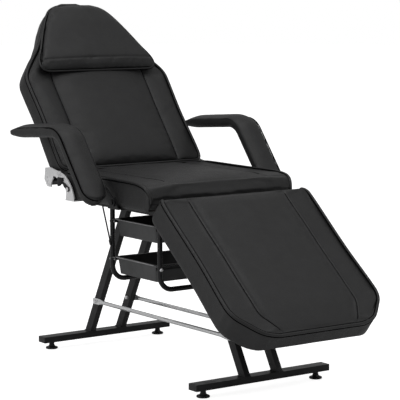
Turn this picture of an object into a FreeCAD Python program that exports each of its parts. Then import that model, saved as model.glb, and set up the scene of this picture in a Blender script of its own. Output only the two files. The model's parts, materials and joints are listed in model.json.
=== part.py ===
import FreeCAD, Part
import math
import os
from FreeCAD import Placement, Rotation, Vector

# Whole chair: heights, angles and widths that drive the rest
cushion_width = 556.0
seat_seam_z = 617.0
seat_thickness = 90.0
seat_rear_y = 236.0
seat_front_y = -238.0
back_angle = 52.1
back_length = 655.0
back_thickness = 66.0
back_edge_y = 248.0
foot_angle = 39.8
foot_length = 546.0
foot_thickness = 88.0
foot_edge_y = -300.0
foot_edge_drop = 38.0
middle_y = -11.95

# Padding: crown, drawn-in sides, sewn channels and the gap round a let-in board
crown = 12.0
channel_inset = 97.0
channel_depth = 7.0
side_bulge = 2.5
board_thickness = 12.0
board_inset = 9.0
board_end_inset = 24.0
board_clearance = 0.3
seat_board_front = 32.0
seat_board_rear = 10.0

# Shares along the length: place, half width, crown, channel, top fall, bottom rise
seat_shares = (
    (0.000, 0.965, 0.05, 0.10, 0.00, 0.00),
    (0.025, 0.995, 0.55, 0.60, 0.00, 0.00),
    (0.090, 1.000, 0.95, 1.00, 0.00, 0.00),
    (0.480, 0.988, 1.00, 1.00, 0.00, 0.00),
    (0.840, 1.000, 0.95, 1.00, 0.01, 0.00),
    (0.920, 1.000, 0.80, 0.90, 0.06, 0.00),
    (0.965, 0.996, 0.60, 0.60, 0.15, 0.00),
    (0.990, 0.985, 0.35, 0.30, 0.27, 0.00),
    (1.000, 0.972, 0.10, 0.10, 0.38, 0.22),
)
foot_shares = (
    (0.000, 0.965, 0.05, 0.10, 0.00, 0.00),
    (0.020, 0.995, 0.55, 0.60, 0.00, 0.00),
    (0.080, 1.000, 0.95, 1.00, 0.00, 0.00),
    (0.450, 0.988, 1.00, 1.00, 0.00, 0.00),
    (0.790, 1.007, 0.98, 1.00, 0.00, 0.00),
    (0.850, 0.975, 0.92, 1.00, 0.00, 0.00),
    (0.900, 0.890, 0.80, 0.80, 0.00, 0.00),
    (0.950, 0.800, 0.60, 0.50, 0.00, 0.04),
    (0.985, 0.730, 0.30, 0.20, 0.00, 0.12),
    (1.000, 0.670, 0.05, 0.10, 0.02, 0.26),
)
back_shares = (
    (0.000, 0.965, 0.05, 0.10, 0.00, 0.00),
    (0.018, 0.995, 0.55, 0.60, 0.00, 0.00),
    (0.070, 1.000, 0.95, 1.00, 0.00, 0.00),
    (0.300, 0.985, 0.97, 0.85, 0.00, 0.00),
    (0.530, 1.000, 0.97, 0.85, 0.00, 0.00),
    (0.560, 0.985, 1.00, 0.60, 0.00, 0.00),
    (0.590, 0.945, 0.90, 0.30, 0.00, 0.00),
    (0.658, 0.820, 0.85, 0.15, 0.00, 0.00),
    (0.720, 0.700, 0.80, 0.12, 0.00, 0.00),
    (0.780, 0.605, 0.75, 0.12, 0.00, 0.00),
    (0.875, 0.478, 0.65, 0.12, 0.00, 0.00),
    (0.945, 0.360, 0.45, 0.12, 0.00, 0.00),
    (0.985, 0.230, 0.20, 0.12, 0.00, 0.05),
    (1.000, 0.130, 0.06, 0.12, 0.00, 0.14),
)
channel_limit_share = 0.655
lobe_share = 0.35

# Head pillow, measured up the backrest from its lower edge
pillow_end_gap = 23.0
pillow_length = 266.0
pillow_side_gap = 54.0
pillow_thickness = 26.0
pillow_rest_share = 1.145
pillow_edge_share = 0.35
pillow_seam_drop = 3.2
pillow_crown = 9.0
pillow_gap = 0.3
pillow_shares = (
    (0.000, 0.930, 0.30),
    (0.035, 0.985, 0.80),
    (0.090, 1.000, 1.00),
    (0.360, 0.862, 1.00),
    (0.700, 0.661, 1.00),
    (0.890, 0.513, 0.85),
    (0.962, 0.410, 0.60),
    (1.000, 0.295, 0.25),
)

# Base: two flat tubes on levelling feet, four leaning legs, two tie bars
base_length = 500.0
base_spread = 860.0
base_tube_width = 40.0
base_tube_height = 20.0
base_tube_z = 23.6
tube_wall = 1.5
cap_flange = 2.0
cap_plug = 14.0
cap_clearance = 0.3
foot_inset = 37.0
foot_disc_radius = 20.0
foot_disc_height = 6.0
foot_neck_radius = 12.0
foot_neck_top_radius = 8.0
foot_neck_height = 16.0
foot_stud_radius = 4.0
foot_stud_above = 12.0
stud_clearance = 0.05
edge_round = 1.5
leg_x = 61.0
leg_width = 20.0
leg_depth = 30.0
rear_leg_top_y = 192.0
front_leg_top_y = -172.0
tie_bar_z = 153.0
tie_bar_radius = 6.5
tie_flat_height = 20.0
tie_flat_thickness = 4.0
tie_flat_length = 36.0
tie_neck_length = 26.0
tie_bolt_radius = 4.0
tie_bolt_head = 6.4
tie_flat_round = 6.6

# Seat frame of square tube, with footrest lugs at its front ends
frame_tube = 25.0
rail_inset = 108.0
rail_rear_y = 214.0
rail_front_y = -216.0
cross_width = 40.0
lug_thickness = 5.0
lug_radius = 11.0
lug_gap = 0.5
foot_hinge_y = -232.0
foot_pin_radius = 5.0
foot_pin_head = 3.0
foot_pin_head_radius = 9.0
lug_root_length = 46.0
board_bolt_radius = 3.0
board_bolt_head = 3.0
board_bolt_head_radius = 6.5
board_bolt_inset = 46.0

# Backrest joint: fixed arched plate, toothed sector, pawl and pin on each side
back_hinge_behind_seat = 20.4
back_hinge_below_seam = 17.0
hinge_gap = 3.3
hinge_plate = 4.0
hinge_play = 0.5
hinge_pin_radius = 5.0
hinge_pin_head = 3.0
hinge_pin_head_radius = 9.0
hinge_pin_round = 1.0
eye_radius = 13.0
arch_foot_front = 91.4
arch_foot_rear = 40.0
arch_foot_height = 52.0
arch_waist = 26.0
flange_length = 92.0
sector_radius = 36.0
sector_root_radius = 32.0
sector_start_angle = 188.0
tooth_pitch_angle = 7.0
tooth_count = 12
tooth_rise_share = 0.15
tooth_clearance = 0.5
pawl_distance = 72.0
pawl_angle = 214.0
pawl_eye_radius = 8.0
pawl_pin_radius = 3.0
pawl_pin_head_radius = 6.4
pawl_shares = ((0.0, -0.85), (0.6, -0.85), (1.0, -0.38), (1.0, 0.0), (0.7, 0.51), (0.0, 0.85))
sector_arm_span = 80.0
sector_arm_shares = (
    (0.000, 0.162), (0.558, 0.269), (0.940, 0.225), (1.010, -0.240), (0.800, -0.525), (0.500, -0.525),
)
sector_arm_inner_shares = ((0.415, -0.240), (0.150, -0.100))
back_cross_along = 12.5
back_rail_inset = 158.0
back_rail_end_gap = 200.0
screw_radius = 2.5
screw_head_radius = 5.0
screw_head = 2.5
screw_depth = 9.0
screw_near_share = 0.22
screw_far_share = 0.8
sector_bolt_radius = 4.0
sector_bolt_head_radius = 5.6

# Footrest frame
foot_rail_start = 34.0
foot_rail_end_gap = 72.0
foot_cross_along = 300.0

# Armrests: a bent padded band on a bent flat bar, hung on a side pivot
arm_gap = 20.0
arm_width = 88.0
arm_thickness = 31.0
arm_crown = 13.0
arm_side_bulge = 2.0
arm_rear_y = 420.0
arm_rear_z = 743.0
arm_bend_y = 102.0
arm_bend_z = 766.0
arm_foot_y = -67.0
arm_foot_z = 553.0
arm_bend_radius = 90.0
arm_pivot_y = -62.0
arm_pivot_z = 545.0
arm_pin_radius = 5.0
arm_pin_head_radius = 8.5
arm_eye_radius = 14.0
arm_mount_front = 28.0
arm_mount_rear = 30.0
arm_bar_width = 30.0
arm_bar_thickness = 6.0
arm_bar_reach = 290.0
arm_bar_foot = 55.0
arm_tab_length = 34.0
arm_lug_thickness = 5.0
arm_lug_gap = 0.7

# Trays, hoops and runners
hoop_radius = 8.0
hoop_bend = 45.0
hoop_rear_y = 120.0
hoop_front_y = -145.0
hoop_bottom_z = 272.0
runner_leg = 11.0
runner_wall = 2.0
tray_end_gap = 2.0
tray_body_width = 224.0
tray_depth = 54.0
tray_wall = 2.5
tray_taper = 6.0
tray_rim_thickness = 3.0
tray_corner = 11.0
upper_rim_z = 468.0
lower_rim_z = 347.0
tray_play = 0.4
slide_clearance = 0.05
runner_bolt_radius = 3.0
runner_bolt_head = 4.0
runner_bolt_head_radius = 5.5

# Release lever: a thin bent rod with a small grip
lever_y = 150.0
lever_rod_radius = 2.5
lever_offset = 7.5
lever_reach_y = -47.0
lever_drop = 118.0
lever_hub_radius = 7.0
lever_hub_cover = 4.0
grip_radius = 5.0
grip_length = 18.0
lever_inside = 12.0
lever_shaft_wall = 1.5
grip_hold = 6.0

# Sizes worked out from the ones above
half_width = cushion_width / 2
channel_x = half_width - channel_inset
pillow_width = cushion_width - 2 * pillow_side_gap
pillow_start = back_length - pillow_length - pillow_end_gap
foot_x = base_length / 2 - foot_inset
rail_x = half_width - rail_inset
back_rail_x = half_width - back_rail_inset
back_rail_length = back_length - back_cross_along - frame_tube / 2 - back_rail_end_gap
foot_rail_length = foot_length - foot_rail_start - foot_rail_end_gap
hoop_x = rail_x
tray_length = 2 * (hoop_x - tray_end_gap)
seat_bottom_z = seat_seam_z - seat_thickness
frame_bottom_z = seat_bottom_z - frame_tube
frame_mid_z = seat_bottom_z - frame_tube / 2
base_top_z = base_tube_z + base_tube_height
back_edge_z = seat_seam_z
foot_edge_z = seat_seam_z - foot_edge_drop
back_hinge_y = seat_rear_y + back_hinge_behind_seat
back_hinge_z = seat_seam_z - back_hinge_below_seam
foot_hinge_z = frame_mid_z
plate_x = half_width + hinge_gap
sector_x = plate_x + hinge_plate + hinge_play
arm_inner_x = half_width + arm_gap
arm_lug_x = plate_x + hinge_plate + arm_lug_gap
overrun = 2.0
outer_share = 0.9
nut_sides = 6
lever_shaft_radius = lever_rod_radius + lever_shaft_wall
head_taper_share = 0.7
x_axis = Vector(1, 0, 0)
y_axis = Vector(0, 1, 0)
z_axis = Vector(0, 0, 1)


def block(x_low, x_high, y_low, y_high, z_low, z_high):
    """A rectangular solid between two corners."""
    return Part.makeBox(x_high - x_low, y_high - y_low, z_high - z_low, Vector(x_low, y_low, z_low))


def rod(radius, start, direction, length):
    """A round bar from a start point along a direction."""
    return Part.makeCylinder(radius, length, start, direction)


def joined(shapes):
    """The shapes fused into one, with leftover seams removed."""
    result = shapes[0]
    for shape in shapes[1:]:
        result = result.fuse(shape)
    return result.removeSplitter()


def mirrored(shape):
    """The same shape on the other side of the chair."""
    return shape.mirror(Vector(0, 0, 0), x_axis)


def side_face(steps):
    """A face in the Y-Z plane: points are lines, pairs of points are arcs through the first."""
    edges = []
    here = Vector(0, *steps[0])
    first = here
    for step in steps[1:]:
        if isinstance(step[0], tuple):
            through = Vector(0, *step[0])
            there = Vector(0, *step[1])
            edges.append(Part.Arc(here, through, there).toShape())
        else:
            there = Vector(0, *step)
            edges.append(Part.makeLine(here, there))
        here = there
    if here.distanceToPoint(first) > board_clearance:
        edges.append(Part.makeLine(here, first))
    return Part.Face(Part.Wire(edges))


def side_plate(steps, x_low, thickness):
    """A flat plate standing in the Y-Z plane."""
    face = side_face(steps)
    face.translate(Vector(x_low, 0, 0))
    return face.extrude(Vector(thickness, 0, 0))


def back_place(shape):
    """Moves a shape from the backrest's own frame into the chair's."""
    spot = Placement(Vector(0, back_edge_y, back_edge_z), Rotation(x_axis, back_angle))
    shape.Placement = spot.multiply(shape.Placement)
    return shape


def foot_place(shape):
    """Moves a shape from the footrest's own frame into the chair's."""
    spot = Placement(Vector(0, foot_edge_y, foot_edge_z), Rotation(x_axis, foot_angle))
    shape.Placement = spot.multiply(shape.Placement)
    return shape


def into_frame(y, z, edge_y, edge_z, angle):
    """A point of the chair in the frame of a tilted section: along it and out of it."""
    cosine = math.cos(math.radians(angle))
    sine = math.sin(math.radians(angle))
    return ((y - edge_y) * cosine + (z - edge_z) * sine, (z - edge_z) * cosine - (y - edge_y) * sine)


def cushion_section(y, width, rise, dip, top, bottom):
    """One closed section: three padded lobes between channels, bulged sides, flat underside."""
    channel = min(channel_x, width * channel_limit_share)

    def height(x):
        return top + rise * (1 - (x / width) ** 2)

    valley = height(channel) - dip
    lobe = (width + channel) / 2
    puff = dip * lobe_share
    middle = (top + bottom) / 2
    left = Vector(-width, y, top)
    right = Vector(width, y, top)
    left_valley = Vector(-channel, y, valley)
    right_valley = Vector(channel, y, valley)
    left_foot = Vector(-width, y, bottom)
    right_foot = Vector(width, y, bottom)
    edges = [
        Part.Arc(left, Vector(-lobe, y, height(lobe) + puff), left_valley).toShape(),
        Part.Arc(left_valley, Vector(0, y, height(0) + puff), right_valley).toShape(),
        Part.Arc(right_valley, Vector(lobe, y, height(lobe) + puff), right).toShape(),
        Part.Arc(right, Vector(width + side_bulge, y, middle), right_foot).toShape(),
        Part.makeLine(right_foot, left_foot),
        Part.Arc(left_foot, Vector(-width - side_bulge, y, middle), left).toShape(),
    ]
    return Part.Wire(edges)


def cushion(shares, start, length, depth):
    """A crowned cushion with drawn-in sides, lofted through its sections along Y."""
    sections = []
    for along, width, rise, dip, fall, lift in shares:
        sections.append(cushion_section(
            start + along * length, width * half_width, rise * crown, dip * channel_depth,
            -fall * depth, -depth + lift * depth))
    return Part.makeLoft(sections, True, True)


def outline(shares, start, length, inset, low, high):
    """A board with the cushion's outline, smaller by the inset and shorter at its far end."""
    right = []
    side = math.copysign(inset, length)
    first = start + side
    last = start + length - side - math.copysign(board_end_inset, length)
    for along, width, *rest in shares:
        y = start + along * length
        y = min(max(y, min(first, last)), max(first, last))
        right.append(Vector(width * half_width - inset, y, low))
    left = [Vector(-point.x, point.y, low) for point in reversed(right)]
    points = right + left
    return Part.Face(Part.makePolygon(points + points[:1])).extrude(Vector(0, 0, high - low))


def box_tube(x_low, x_high, y_low, y_high, z_low, z_high, along):
    """A rectangular tube, open at both ends along the named axis."""
    shape = block(x_low, x_high, y_low, y_high, z_low, z_high)
    w = tube_wall
    if along == "x":
        return shape.cut(block(x_low, x_high, y_low + w, y_high - w, z_low + w, z_high - w))
    return shape.cut(block(x_low + w, x_high - w, y_low, y_high, z_low + w, z_high - w))


def hexagon(radius, start, direction, length):
    """A hexagonal nut or bolt head across its corners."""
    points = []
    for corner in range(nut_sides + 1):
        angle = 2 * math.pi * corner / nut_sides
        points.append(Vector(radius * math.cos(angle), radius * math.sin(angle), 0))
    shape = Part.Face(Part.makePolygon(points)).extrude(Vector(0, 0, length))
    shape.Placement = Placement(start, Rotation(z_axis, direction))
    return shape


def round_bolt(start, direction, radius, length, head_radius, head_height):
    """A bolt: a domed head below the start point and a shank above it."""
    shank = rod(radius, start, direction, length)
    base = start - direction * head_height
    head = Part.makeCone(head_radius * head_taper_share, head_radius, head_height, base, direction)
    return shank.fuse(head)


def base_tubes():
    """The two floor tubes, drilled below for the feet."""
    parts = {}
    for end, sign in (("front", -1), ("rear", 1)):
        y = sign * base_spread / 2
        half = base_length / 2
        tube = box_tube(-half, half, y - base_tube_width / 2, y + base_tube_width / 2,
                        base_tube_z, base_top_z, "x")
        for side in (-1, 1):
            hole = rod(foot_stud_radius + stud_clearance, Vector(side * foot_x, y, 0), z_axis,
                       base_tube_z + tube_wall + overrun)
            tube = tube.cut(hole)
        parts["base_tube_" + end] = tube
    return parts


def end_caps():
    """Four moulded plugs that close the floor tubes."""
    caps = []
    for end in (-1, 1):
        for side in (-1, 1):
            y = end * base_spread / 2
            half = base_length / 2
            hide = tube_wall + cap_clearance
            flange = block(half, half + cap_flange, y - base_tube_width / 2, y + base_tube_width / 2,
                           base_tube_z, base_top_z)
            flange = flange.makeChamfer(cap_flange / 2, [e for e in flange.Edges
                                                         if e.CenterOfMass.x > half + cap_flange * outer_share])
            plug = block(half - cap_plug, half, y - base_tube_width / 2 + hide,
                         y + base_tube_width / 2 - hide, base_tube_z + hide, base_top_z - hide)
            cap = flange.fuse(plug)
            caps.append(cap if side > 0 else mirrored(cap))
    return Part.makeCompound(caps)


def levelling_foot(side, end):
    """A turned foot: round pad, cone neck and the stud that screws into the tube."""
    top = base_tube_z
    steps = [
        (0, 0), (foot_disc_radius - edge_round, 0), (foot_disc_radius, edge_round),
        (foot_disc_radius, foot_disc_height - edge_round),
        (foot_disc_radius - edge_round, foot_disc_height),
        (foot_neck_radius, foot_disc_height), (foot_neck_top_radius, foot_neck_height),
        (foot_neck_top_radius, top - board_clearance), (foot_stud_radius, top - board_clearance),
        (foot_stud_radius, top + foot_stud_above), (0, top + foot_stud_above),
    ]
    points = [Vector(radius, 0, height) for radius, height in steps]
    profile = Part.Face(Part.makePolygon(points + points[:1]))
    foot = profile.revolve(Vector(0, 0, 0), z_axis, 360)
    foot.translate(Vector(side * foot_x, end * base_spread / 2, 0))
    return foot


def leg(side, end):
    """A leaning box tube, cut level at both ends, drilled for the tie bar's bolt."""
    low_y = end * base_spread / 2
    high_y = rear_leg_top_y if end > 0 else front_leg_top_y
    rise = frame_bottom_z - base_top_z
    lean = math.atan2(abs(low_y - high_y), rise)
    half = leg_depth / math.cos(lean) / 2
    inner = half - tube_wall / math.cos(lean)
    x_low = side * leg_x - leg_width / 2
    outer_face = [(low_y - half, base_top_z), (low_y + half, base_top_z),
                  (high_y + half, frame_bottom_z), (high_y - half, frame_bottom_z)]
    inner_face = [(low_y - inner, base_top_z), (low_y + inner, base_top_z),
                  (high_y + inner, frame_bottom_z), (high_y - inner, frame_bottom_z)]
    tube = side_plate(outer_face, x_low, leg_width)
    tube = tube.cut(side_plate(inner_face, x_low + tube_wall, leg_width - 2 * tube_wall))
    hole = rod(tie_bolt_radius + stud_clearance, Vector(x_low - overrun, leg_y(end, tie_bar_z), tie_bar_z),
               x_axis, leg_width + 2 * overrun)
    return tube.cut(hole)


def leg_y(end, z):
    """Where a leg's middle line is at a height."""
    low_y = end * base_spread / 2
    high_y = rear_leg_top_y if end > 0 else front_leg_top_y
    return low_y + (high_y - low_y) * (z - base_top_z) / (frame_bottom_z - base_top_z)


def tie_bar(side):
    """A round tie bar with flattened, drilled ends, lying on the legs' outer faces."""
    front = leg_y(-1, tie_bar_z)
    rear = leg_y(1, tie_bar_z)
    face = leg_x + leg_width / 2
    middle = face + tie_flat_thickness / 2
    flat_end = tie_flat_length / 2
    pieces = [rod(tie_bar_radius, Vector(middle, front + flat_end + tie_neck_length, tie_bar_z), y_axis,
                  rear - front - 2 * (flat_end + tie_neck_length))]
    for end, y in ((-1, front), (1, rear)):
        inward = -end
        flat = block(face, face + tie_flat_thickness, y - flat_end, y + flat_end,
                     tie_bar_z - tie_flat_height / 2, tie_bar_z + tie_flat_height / 2)
        outer = [e for e in flat.Edges if abs(e.CenterOfMass.y - (y + end * flat_end)) < tube_wall
                 and abs(e.CenterOfMass.z - tie_bar_z) > tie_flat_height / 4]
        flat = flat.makeFillet(tie_flat_round, outer)
        neck = Vector(middle, y + inward * (flat_end + tie_neck_length), tie_bar_z)
        ring = Part.Wire(Part.makeCircle(tie_bar_radius, neck, y_axis))
        ellipse = Part.Ellipse(Vector(middle, y + inward * flat_end, tie_bar_z + tie_flat_height / 2),
                               Vector(middle + tie_flat_thickness / 2, y + inward * flat_end, tie_bar_z),
                               Vector(middle, y + inward * flat_end, tie_bar_z))
        neck = Part.makeLoft([ring, Part.Wire(ellipse.toShape())], True, True)
        hole = rod(tie_bolt_radius + stud_clearance, Vector(face - overrun, y, tie_bar_z), x_axis,
                   tie_flat_thickness + 2 * overrun)
        pieces += [flat.cut(hole), neck]
    bar = joined(pieces)
    return bar if side > 0 else mirrored(bar)


def tie_bar_bolts():
    """Four bolts through the legs and the bar ends, each with its nut."""
    bolts = []
    head = tie_bolt_head
    for side in (-1, 1):
        for end in (-1, 1):
            y = leg_y(end, tie_bar_z)
            inner = leg_x - leg_width / 2
            outer = leg_x + leg_width / 2 + tie_flat_thickness
            shank = rod(tie_bolt_radius, Vector(inner - head, y, tie_bar_z), x_axis, outer - inner + 2 * head)
            cap = hexagon(head, Vector(inner - head, y, tie_bar_z), x_axis, head)
            nut = hexagon(head, Vector(outer, y, tie_bar_z), x_axis, head)
            bolt = joined([shank, cap, nut])
            bolts.append(bolt if side > 0 else mirrored(bolt))
    return Part.makeCompound(bolts)


def bolt_spots(front, rear):
    """The two places along a rail where its board is bolted."""
    return (front + board_bolt_inset, rear - board_bolt_inset)


def seat_rail(side):
    """A side rail of the seat frame with the lug that carries the footrest's hinge pin."""
    half = frame_tube / 2
    rail = box_tube(rail_x - half, rail_x + half, rail_front_y, rail_rear_y, frame_bottom_z,
                    seat_bottom_z, "y")
    for y in bolt_spots(rail_front_y, rail_rear_y):
        rail = rail.cut(rod(board_bolt_radius + stud_clearance, Vector(rail_x, y, frame_bottom_z - overrun),
                            z_axis, frame_tube + 2 * overrun))
    outer = rail_x + half
    low = foot_hinge_z - lug_radius
    high = foot_hinge_z + lug_radius
    lug = side_plate([(foot_hinge_y, low), ((foot_hinge_y - lug_radius, foot_hinge_z), (foot_hinge_y, high)),
                      (foot_hinge_y + lug_root_length, high), (foot_hinge_y + lug_root_length, low)],
                     outer, lug_thickness)
    hole = rod(foot_pin_radius + stud_clearance, Vector(outer - overrun, foot_hinge_y, foot_hinge_z), x_axis,
               lug_thickness + 2 * overrun)
    lever = rod(lever_shaft_radius + stud_clearance, Vector(rail_x - frame_tube, lever_y, frame_mid_z),
                x_axis, 2 * frame_tube)
    rail = rail.fuse(lug.cut(hole))
    if side > 0:
        return rail
    return mirrored(rail.cut(lever))


def seat_cross(y):
    """A cross tube between the rails, over the legs."""
    half = rail_x - frame_tube / 2
    return box_tube(-half, half, y - cross_width / 2, y + cross_width / 2, frame_bottom_z, seat_bottom_z, "x")


def seat_padding():
    """The seat cushion, its let-in board and the board's outline."""
    length = seat_front_y - seat_rear_y
    seat = cushion(seat_shares, seat_rear_y, length, seat_thickness)
    seat.translate(Vector(0, 0, seat_seam_z))
    front = seat_front_y + seat_board_front
    rear = seat_rear_y - seat_board_rear
    half = half_width - board_inset
    board = block(-half, half, front, rear, seat_bottom_z, seat_bottom_z + board_thickness)
    gap = board_clearance
    pocket = block(-half - gap, half + gap, front - gap, rear + gap, seat_bottom_z - seat_thickness,
                   seat_bottom_z + board_thickness + gap)
    for y in bolt_spots(rail_front_y, rail_rear_y):
        for side in (-1, 1):
            board = board.cut(rod(board_bolt_radius + stud_clearance,
                                  Vector(side * rail_x, y, seat_bottom_z - overrun), z_axis,
                                  board_thickness + 2 * overrun))
    for x, y in screw_spots():
        for side in (-1, 1):
            board = board.cut(rod(screw_radius + stud_clearance,
                                  Vector(side * x, y, seat_bottom_z - overrun), z_axis,
                                  screw_depth + overrun))
    return seat.cut(pocket), board


def screw_spots():
    """Where the flanges of the hinge and armrest plates are screwed to the seat board."""
    near = plate_x - flange_length * screw_near_share
    far = plate_x - flange_length * screw_far_share
    hinge_mid = back_hinge_y - (arch_foot_front + arch_foot_rear) / 2
    arm_mid = arm_pivot_y + (arm_mount_rear - arm_mount_front) / 2
    return [(x, y) for y in (hinge_mid, arm_mid) for x in (near, far)]


def board_bolts(rails_x, spots, low, through):
    """Bolts from below through both rails into a board."""
    bolts = []
    for y in spots:
        for side in (-1, 1):
            bolts.append(round_bolt(Vector(side * rails_x, y, low), z_axis, board_bolt_radius, through,
                                    board_bolt_head_radius, board_bolt_head))
    return Part.makeCompound(bolts)


def flange_screws():
    """Eight screws through the plate flanges into the seat board."""
    screws = []
    for x, y in screw_spots():
        for side in (-1, 1):
            screws.append(round_bolt(Vector(side * x, y, seat_bottom_z - hinge_plate), z_axis, screw_radius,
                                     hinge_plate + screw_depth - overrun, screw_head_radius, screw_head))
    return Part.makeCompound(screws)


def with_flange(plate, y_low, y_high):
    """A side plate with the flange that turns in under the seat board."""
    flange = block(plate_x - flange_length, plate_x + hinge_plate, y_low, y_high,
                   seat_bottom_z - hinge_plate, seat_bottom_z)
    for x, y in screw_spots():
        start = Vector(x, y, seat_bottom_z - hinge_plate - overrun)
        flange = flange.cut(rod(screw_radius + stud_clearance, start, z_axis, hinge_plate + 2 * overrun))
    return joined([plate, flange])


def hinge_arch(side):
    """The fixed plate of the backrest joint: a screwed foot that arches up to the pivot eye."""
    y = back_hinge_y
    z = back_hinge_z
    front = y - arch_foot_front
    rear = y - arch_foot_rear
    low = seat_bottom_z - hinge_plate
    knee = seat_bottom_z + arch_foot_height
    slope = math.pi / 4
    eye_top = (y - eye_radius * math.sin(slope), z + eye_radius * math.cos(slope))
    eye_low = (y - eye_radius * math.sin(slope), z - eye_radius * math.cos(slope))
    steps = [
        (front, low), (front, low + arch_foot_height / 4),
        ((front + arch_waist, knee), eye_top),
        ((y + eye_radius, z), eye_low),
        ((rear + hinge_play, knee - arch_foot_height / 4), (rear, low)),
    ]
    plate = side_plate(steps, plate_x, hinge_plate)
    hole = rod(hinge_pin_radius + stud_clearance, Vector(plate_x - overrun, y, z), x_axis,
               hinge_plate + 2 * overrun)
    pawl_y, pawl_z = pawl_spot()
    pawl_hole = rod(pawl_pin_radius + stud_clearance, Vector(plate_x - overrun, pawl_y, pawl_z), x_axis,
                    hinge_plate + 2 * overrun)
    plate = with_flange(plate.cut(hole).cut(pawl_hole), front, rear)
    return plate if side > 0 else mirrored(plate)


def pawl_spot():
    """The pawl's pivot, a set distance from the hinge axis."""
    angle = math.radians(pawl_angle)
    return (back_hinge_y + pawl_distance * math.cos(angle), back_hinge_z + pawl_distance * math.sin(angle))


def hinge_pins():
    """Pivot pins of the backrest and the pawls, flush inside and headed outside."""
    pins = []
    for side in (-1, 1):
        reach = 2 * hinge_plate + hinge_play
        for y, z, radius, head in ((back_hinge_y, back_hinge_z, hinge_pin_radius, hinge_pin_head_radius),
                                   (*pawl_spot(), pawl_pin_radius, pawl_pin_head_radius)):
            shank = rod(radius, Vector(plate_x, y, z), x_axis, reach + board_clearance)
            cap = rod(head, Vector(plate_x + reach + board_clearance, y, z), x_axis, hinge_pin_head)
            cap = cap.makeFillet(hinge_pin_round, [e for e in cap.Edges if e.CenterOfMass.x
                                                   > plate_x + reach + hinge_pin_head * outer_share])
            pin = shank.fuse(cap)
            pins.append(pin if side > 0 else mirrored(pin))
    return Part.makeCompound(pins)


def ratchet_sector(side):
    """The moving plate: a hub, a toothed quadrant and an arch bolted to the backrest's cross tube."""
    y = back_hinge_y
    z = back_hinge_z
    spread = tooth_pitch_angle * tooth_count
    start = math.radians(sector_start_angle)
    stop = math.radians(sector_start_angle + spread)
    middle = (start + stop) / 2

    def at(radius, angle):
        return (y + radius * math.cos(angle), z + radius * math.sin(angle))

    steps = [at(0, 0), at(sector_root_radius, start)]
    for tooth in range(tooth_count):
        low = start + math.radians(tooth_pitch_angle) * tooth
        steps.append(at(sector_radius, low + math.radians(tooth_pitch_angle) * tooth_rise_share))
        steps.append(at(sector_root_radius, low + math.radians(tooth_pitch_angle)))
    quadrant = side_plate(steps, sector_x, hinge_plate)
    hub = rod(eye_radius, Vector(sector_x, y, z), x_axis, hinge_plate)

    def arm_point(shares):
        return (y + shares[0] * sector_arm_span, z + shares[1] * sector_arm_span)

    through, end = sector_arm_inner_shares
    arm_steps = [arm_point(shares) for shares in sector_arm_shares] + [(arm_point(through), arm_point(end))]
    plate = joined([quadrant, hub, side_plate(arm_steps, sector_x, hinge_plate)])
    plate = plate.cut(rod(hinge_pin_radius + stud_clearance, Vector(sector_x - overrun, y, z), x_axis,
                          hinge_plate + 2 * overrun))
    for bolt_y, bolt_z in sector_bolt_spots():
        plate = plate.cut(rod(sector_bolt_radius + stud_clearance, Vector(sector_x - overrun, bolt_y, bolt_z),
                              x_axis, hinge_plate + 2 * overrun))
    return plate if side > 0 else mirrored(plate)


def cross_spot():
    """The middle of the backrest's lower cross tube, seen from the side."""
    cosine = math.cos(math.radians(back_angle))
    sine = math.sin(math.radians(back_angle))
    out = -back_thickness - frame_tube / 2
    return (back_edge_y + back_cross_along * cosine - out * sine,
            back_edge_z + back_cross_along * sine + out * cosine)


def sector_bolt_spots():
    """Two bolts that hold the moving plate on the cross tube's end."""
    cross_y, cross_z = cross_spot()
    step = frame_tube / 4
    return [(cross_y, cross_z + step * sign) for sign in (-1, 1)]


def sector_bolts():
    """Round-headed bolts outside the sector arms."""
    bolts = []
    for side in (-1, 1):
        for y, z in sector_bolt_spots():
            start = Vector(sector_x + hinge_plate, y, z)
            bolt = round_bolt(start, -x_axis, sector_bolt_radius, hinge_plate, sector_bolt_head_radius,
                              hinge_pin_head)
            bolts.append(bolt if side > 0 else mirrored(bolt))
    return Part.makeCompound(bolts)


def pawl(side):
    """A spring pawl beside the fixed plate, its nose just clear of the teeth."""
    pawl_y, pawl_z = pawl_spot()
    reach = pawl_distance - sector_radius - tooth_clearance
    steps = [(along * reach, side_share * pawl_eye_radius) for along, side_share in pawl_shares]
    nose = side_plate(steps, 0, hinge_plate)
    eye = rod(pawl_eye_radius, Vector(0, 0, 0), x_axis, hinge_plate)
    shape = joined([nose, eye])
    shape = shape.cut(rod(pawl_pin_radius + stud_clearance, Vector(-overrun, 0, 0), x_axis,
                          hinge_plate + 2 * overrun))
    shape.Placement = Placement(Vector(sector_x, pawl_y, pawl_z), Rotation(x_axis, pawl_angle - 180))
    return shape if side > 0 else mirrored(shape)


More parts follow.
